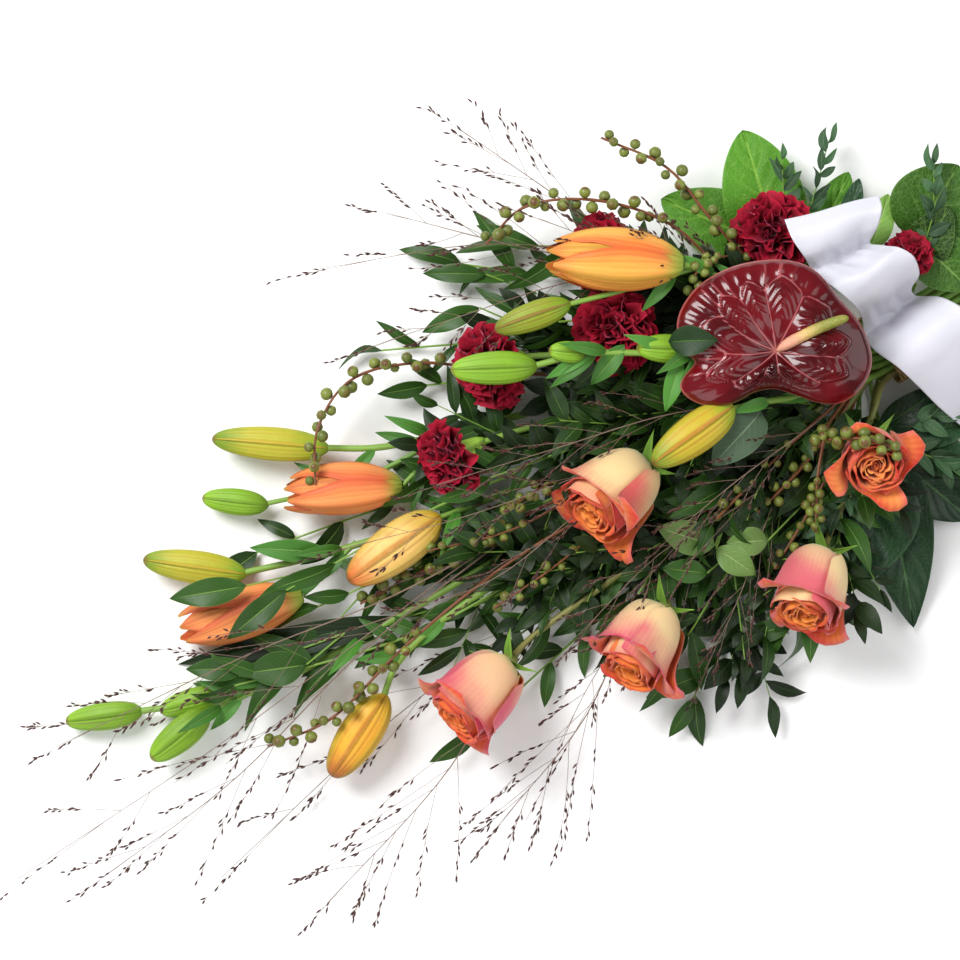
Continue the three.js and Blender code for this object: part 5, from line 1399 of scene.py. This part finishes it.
# Slot's place, cut end, then for each stem the share where its leaves begin and its way
RUSCUS = [
    ("upper", 1.5, 92, [
        (0.4, [(-140, 90, 9), (-250, 150, 9), (-330, 190, 6)]),
        (0.72, [(-110, 110, 9), (-190, 170, 9), (-240, 210, 8)]),
        (0.3, [(-130, 66, 12), (-230, 112, 14), (-312, 150, 12)]),
        (0.74, [(-90, 110, 14), (-150, 166, 18), (-200, 200, 18)]),
        (0.4, [(-80, 70, 20), (-150, 110, 30), (-230, 150, 34)])]),
    ("tip", 0.5, 84, [
        (0.33, [(-200, 48, 6), (-360, 84, 6), (-500, 112, 4)]),
        (0.33, [(-200, 10, 6), (-400, 6, 6), (-520, 30, 4)]),
        (0.3, [(-160, 44, 20), (-280, 78, 24), (-390, 104, 20)]),
        (0.3, [(-180, 24, 24), (-320, 34, 26), (-450, 50, 20)]),
        (0.3, [(-120, 30, 26), (-210, 48, 40), (-300, 66, 40)]),
        (0.3, [(-160, 0, 16), (-300, -10, 20), (-420, 0, 18)]),
        (0.96, [(-180, 40, 26), (-330, 66, 34), (-432, 70, 32)]),
        (0.74, [(-170, 4, 16), (-380, -4, 26), (-540, 36, 26)])]),
    ("lower", -0.5, 74, [
        (0.33, [(-150, -34, 6), (-300, -64, 6), (-410, -86, 4)]),
        (0.33, [(-100, -60, 6), (-200, -112, 7), (-262, -150, 5)]),
        (0.3, [(-140, -16, 22), (-260, -34, 26), (-380, -44, 18)]),
        (0.3, [(-90, -34, 20), (-170, -70, 26), (-250, -112, 16)]),
        (0.3, [(-110, -14, 30), (-200, -36, 40), (-290, -80, 34)]),
        (0.3, [(-70, -50, 20), (-120, -110, 30), (-180, -140, 20)])]),
]

# Single leaves that lie over the rest, by bunch: where their twig begins, foot, tip, width, look
LOOSE_LEAVES = {
    "upper": [((-210, 130, 18), (-240, 172, 22), (-284, 178, 20), 15, 0),
              ((-200, 160, 14), (-224, 190, 20), (-262, 214, 16), 14, 0)],
    "tip": [((-380, 6, 12), (-400, 12, 14), (-556, 66, 7), 22, 2),
            ((-428, 71, 32), (-480, 88, 48), (-531, 108, 50), 20, 0),
            ((-420, 70, 33), (-458, 71, 47), (-511, 63, 50), 18, 0),
            ((-420, 40, 16), (-440, 34, 20), (-492, 22, 16), 22, 0),
            ((-440, 24, 24), (-474, 19, 30), (-514, 36, 32), 25, 0),
            ((-440, 24, 24), (-511, 38, 28), (-549, 60, 30), 17, 0)],
    "lower": [((-150, -30, 40), (-186, -56, 52), (-214, -24, 56), 24, 3),
              ((-150, -30, 40), (-186, -58, 52), (-172, -88, 54), 20, 3),
              ((-140, -60, 34), (-200, -70, 46), (-226, -50, 52), 17, 0),
              ((-230, -70, 30), (-258, -92, 36), (-300, -96, 30), 15, 0),
              ((-100, -60, 30), (-152, -72, 50), (-178, -58, 56), 20, 3),
              ((-110, -110, 24), (-128, -132, 26), (-118, -166, 22), 15, 0)],
}


def leafy(skin, path, number, length, seed, width, begin, look=0, spread=0.75, radius=1.5, n=10, m=5):
    """A stem whose leaves stand in turn to left and right and a little up or down, smaller
    towards the end, the last one in line with the stem."""
    draw = seeded(seed, (9, number))
    shares = begin + (1 - begin) * np.clip((np.arange(number) + 0.9 * draw[7]) / number, 0, 1)
    places, headings = along(path, shares)
    side = level_sides(headings) * left_right(number)[:, None]
    open_ = spread * (0.3 + 1.3 * draw[0])
    open_[-1] = 0.1
    away = headings + side * open_[:, None] + UP * (0.75 * draw[1] - 0.2)[:, None]
    size = length * (1.15 - 0.3 * np.arange(number) / number) * (0.6 + 0.6 * draw[2])
    tilt = UP + side * (draw[3] - 0.5)[:, None] * 1.9 + headings * (draw[8] - 0.5)[:, None]
    add_leaves(skin, places, away, size, size * width * (0.75 + 0.5 * draw[4]), tilt, LANCE, 0.25,
               0.02 + 0.12 * draw[5], 0.26 * draw[6], 0.5, twist=(draw[3] - 0.5) * 1.4, seed=seed,
               n=n, m=m, look=look)
    add_stem(skin, path, radius, 1, 0.5, 6, 10)


def thicket(skin, paths, twigs, leaves, length, seed, width, look, shares):
    """Short side twigs that leave the given stems anywhere in a stretch of them, forwards,
    upwards and to both sides, with small leaves in pairs of turns along each."""
    draw = seeded(seed, (6, twigs))
    for k in range(twigs):
        path = paths[k % len(paths)]
        (root,), heading = along(path, [shares[0] + (shares[1] - shares[0]) * draw[0][k]])
        side = level_sides(heading)[0] * (1 if k % 4 < 2 else -1)
        away = unit(heading[0] + side * (0.2 + 0.9 * draw[1][k]) + UP * (0.1 + 0.45 * draw[2][k]))
        reach = 46 + 34 * draw[3][k]
        bend = UP * reach * (0.1 - 0.24 * draw[4][k])
        line = [root, root + away * reach * 0.5 + bend * 0.3, root + away * reach + bend]
        leafy(skin, line, leaves, length * (0.8 + 0.5 * draw[5][k]), seed + k * 3 + 1, width, 0.2, look,
              0.9, 0.7, 8, 5)


class SPRAY_OT_ruscus(bpy.types.Operator):
    """Leafy ruscus stems and smaller filling twigs from tie to tip"""

    bl_idname = "spray.ruscus"
    bl_label = "Ruscus"

    def execute(self, context):
        size = sizes()
        for g, (name, start, end, ways) in enumerate(RUSCUS):
            full, slim, stretch = (1.1, 0.27, (0.2, 0.62)) if name == "upper" else (1.5, 0.33, (0.12, 0.7))
            skin = Skin()
            paths = [[slot(0, start)[3], *way] for _, way in ways]
            paths[0] = [*slot(0, start, end), *ways[0][1]]
            for k, (path, (begin, _)) in enumerate(zip(paths, ways)):
                number = round(size.stem_leaves * full * (1 - begin))
                leafy(skin, path, number, size.leaf_length / MM, 51 + k * 5 + g * 31, slim, begin)
            inner = [path for path, (begin, _) in zip(paths, ways) if begin < 0.5][1:]
            # the first thicket wears the filling finish, whose darkened ruscus colour is painted shade
            thicket(skin, inner, size.filling_twigs, 7, 24, 700 + g * 211, 0.4, 2, stretch)
            # the second thicket wears the deep finish, also darkened ruscus for painted shade
            thicket(skin, inner, size.filling_twigs // 2, 6, 36, 1700 + g * 211, 0.32, 4, stretch)
            for k, (root, foot, tip, width, look) in enumerate(LOOSE_LEAVES[name]):
                add_leaf(skin, foot, tip, width, root, fold=0.2, droop=0.05, wave=0.8, ribs=0.2,
                         seed=g * 17 + k, n=20, m=13, look=look)
            looks = ["ruscus_leaf", "stem_green", "filling_leaf", "olive_leaf", "deep_leaf"]
            skin.make(f"ruscus_bunch_{name}", looks, [f"ruscus_{name}"])
        return {"FINISHED"}


# Name, stem, then for each leaf its foot, tip, width and outline
BIG_LEAVES = [
    ("upper", [*slot(0, 2.5, 64), (-32, 70, 12), (-38, 100, 14)], [
        ((-38, 98, 13.8), (-16, 184, 20), 58, OVAL), ((-38, 98, 13.8), (-90, 172, 16), 52, OVAL),
        ((-33, 74, 12), (34, 120, 16), 36, OVAL)]),
    ("end", [(-27, 16.5, ROW_HEIGHT[3]), *slot(3, 3)[:0:-1], (32, 36, 22), (46, 56, 34)], [
        ((45, 55.5, 33.8), (98, 84, 42), 62, OVAL), ((42, 51, 31), (96, 34, 42), 48, OVAL)]),
    ("side", [*slot(0, -1.5, 80), (-44, -60, 7), (-58, -84, 10)], [
        ((-57, -83, 9.9), (-128, -134, 16), 66, HEART), ((-51, -72, 8.6), (-92, -182, 6), 54, HEART),
        ((-45, -62, 7.2), (-18, -136, 8), 46, OVAL)]),
]
BROAD_LEAVES = {"upper": "salal_leaf", "end": "mid_leaf", "side": "dark_leaf"}

# Smaller leaves by bunch: where their twig begins, foot, tip, width, look
LEAFLETS = {
    "upper": [((-33, 74, 12), (6, 84, 24), (36, 112, 28), 16, 3),
              ((-33, 74, 12), (18, 66, 30), (47, 92, 33), 20, 4)],
    "end": [((42, 51, 31), (47, 52, 36), (60, 6, 40), 40, 0),
            ((32, 36, 22), (36, 40, 30), (76, 62, 50), 34, 0)],
    "side": [((-45, -62, 7), (-30, -58, 12), (18, -78, 16), 28, 0),
             ((-45, -62, 7), (-26, -66, 10), (4, -112, 14), 30, 0),
             ((-45, -62, 7), (-40, -48, 16), (10, -44, 22), 22, 3)],
}
# Stems of the small-leaved sprigs, by bunch
SPRIGS = {
    "upper": [[(-36, 84, 14), (-22, 118, 30), (-4, 152, 34)], [(-36, 84, 14), (-4, 112, 26), (32, 146, 26)]],
    "side": [[(-50, -52, 10), (-84, -74, 34), (-120, -84, 40)],
             [(-46, -50, 10), (-20, -84, 20), (-4, -118, 22)],
             [(-40, -48, 12), (-10, -58, 26), (28, -62, 28)]],
    "end": [[(32, 36, 22), (60, 60, 50), (84, 98, 56)]],
}


class SPRAY_OT_leaves(bpy.types.Operator):
    """Broad backing leaves round the tie"""

    bl_idname = "spray.leaves"
    bl_label = "Backing leaves"

    def execute(self, context):
        for g, (name, path, leaves) in enumerate(BIG_LEAVES):
            skin = Skin()
            add_stem(skin, path, ROW_RADIUS[0], 1, 0.2)
            for k, (foot, tip, width, shape) in enumerate(leaves):
                add_leaf(skin, foot, tip, width, shape=shape, fold=0.14, arch=0.06, wave=1.6, ribs=0.5,
                         seed=g * 9 + k, n=40, m=31, half=0.3)
            for k, (root, foot, tip, width, look) in enumerate(LEAFLETS[name]):
                add_leaf(skin, foot, tip, width, root, 0.9, shape=OVAL, fold=0.16, droop=0.02, wave=1.2,
                         ribs=0.4, seed=g * 23 + k, n=28, m=19, half=0.3, look=look)
            for k, sprig in enumerate(SPRIGS[name]):
                leafy(skin, sprig, 11, 19, 900 + g * 40 + k, 0.42, 0.25, 2, 0.7, 0.7, 9, 7)
            looks = [BROAD_LEAVES[name], "stem_green", "sprig_leaf", "dark_leaf", "pale_leaf"]
            skin.make(f"backing_leaves_{name}", looks, [f"leaves_{name}"], 70)
        return {"FINISHED"}


# Stage

# The floor's side and middle in metres, half a millimetre below the solids' own floor
FLOOR_SIDE, FLOOR_PLACE = 12, (-0.3, 0.05, -0.0005)
# The camera's height in metres, its lens and the width of its film in millimetres
CAMERA_HEIGHT, LENS, FILM = 2.04, 107.1, 36.0
WORLD_STRENGTH = 0.24
# Name, place in metres, side of the square in metres, watts
LIGHTS = (
    ("key", (-0.62, 1.2, 1.5), 0.9, 40),
    ("fill", (0.9, -0.5, 1.3), 1.4, 13),
    ("front", (-1.4, -0.7, 1.3), 1.2, 10),
)


class SPRAY_OT_stage(bpy.types.Operator):
    """Pale floor, soft lights and a camera that looks straight down as in the picture"""

    bl_idname = "spray.stage"
    bl_label = "Stage"

    def execute(self, context):
        scene = context.scene
        bpy.ops.mesh.primitive_plane_add(size=FLOOR_SIDE, location=FLOOR_PLACE)
        floor = context.object
        floor.name = "floor"
        f = Finish("floor_paper")
        floor.data.materials.append(f.surface(f.mix(f.noise(3, 2), tint("paper"), tint("white")), 0.9))
        world = bpy.data.worlds.new("studio")
        scene.world = world
        world.use_nodes = True
        sky = world.node_tree.nodes["Background"].inputs
        sky["Color"].default_value = (1, 1, 1, 1)
        sky["Strength"].default_value = WORLD_STRENGTH
        middle = [PHOTO_CENTRE[0] * MM, PHOTO_CENTRE[1] * MM]
        for name, where, size, power in LIGHTS:
            light = bpy.data.lights.new(name, "AREA")
            light.energy, light.size = power, size
            lamp = bpy.data.objects.new(name, light)
            lamp.location = where
            aim = Vector((*middle, 0)) - lamp.location
            lamp.rotation_euler = aim.to_track_quat("-Z", "Y").to_euler()
            context.collection.objects.link(lamp)
        data = bpy.data.cameras.new("camera")
        data.lens, data.sensor_width = LENS, FILM
        data.clip_start, data.clip_end = 0.1, 20
        camera = bpy.data.objects.new("camera", data)
        camera.location = (*middle, CAMERA_HEIGHT)
        camera.rotation_euler = (0, 0, -PHOTO_TURN)
        context.collection.objects.link(camera)
        scene.camera = camera
        scene.view_settings.view_transform = "Standard"
        scene.view_settings.look = "None"
        scene.view_settings.exposure = 0.0
        scene.view_settings.gamma = 1.0
        return {"FINISHED"}


STEPS = (
    SPRAY_OT_tie, SPRAY_OT_ribbon, SPRAY_OT_anthurium, SPRAY_OT_roses, SPRAY_OT_carnations,
    SPRAY_OT_lilies, SPRAY_OT_berries, SPRAY_OT_grasses, SPRAY_OT_ruscus, SPRAY_OT_leaves, SPRAY_OT_stage,
)


class SPRAY_PT_panel(bpy.types.Panel):
    """Lists the steps that build the spray"""

    bl_idname = "SPRAY_PT_panel"
    bl_label = "Spray"
    bl_space_type = "VIEW_3D"
    bl_region_type = "UI"
    bl_category = "Spray"

    def draw(self, context):
        for group in (context.scene.spray_sizes, context.scene.spray_colours):
            for key in group.__annotations__:
                self.layout.prop(group, key)
        for operator in STEPS:
            self.layout.operator(operator.bl_idname)


CLASSES = (SprayColours, SpraySizes, *STEPS, SPRAY_PT_panel)


def register():
    for item in CLASSES:
        bpy.utils.register_class(item)
    bpy.types.Scene.spray_colours = PointerProperty(type=SprayColours)
    bpy.types.Scene.spray_sizes = PointerProperty(type=SpraySizes)


def unregister():
    del bpy.types.Scene.spray_sizes
    del bpy.types.Scene.spray_colours
    for item in reversed(CLASSES):
        bpy.utils.unregister_class(item)


def main():
    """Builds every piece in order."""
    register()
    for operator in STEPS:
        group, name = operator.bl_idname.split(".")
        getattr(getattr(bpy.ops, group), name)()


if __name__ == "__main__":
    main()
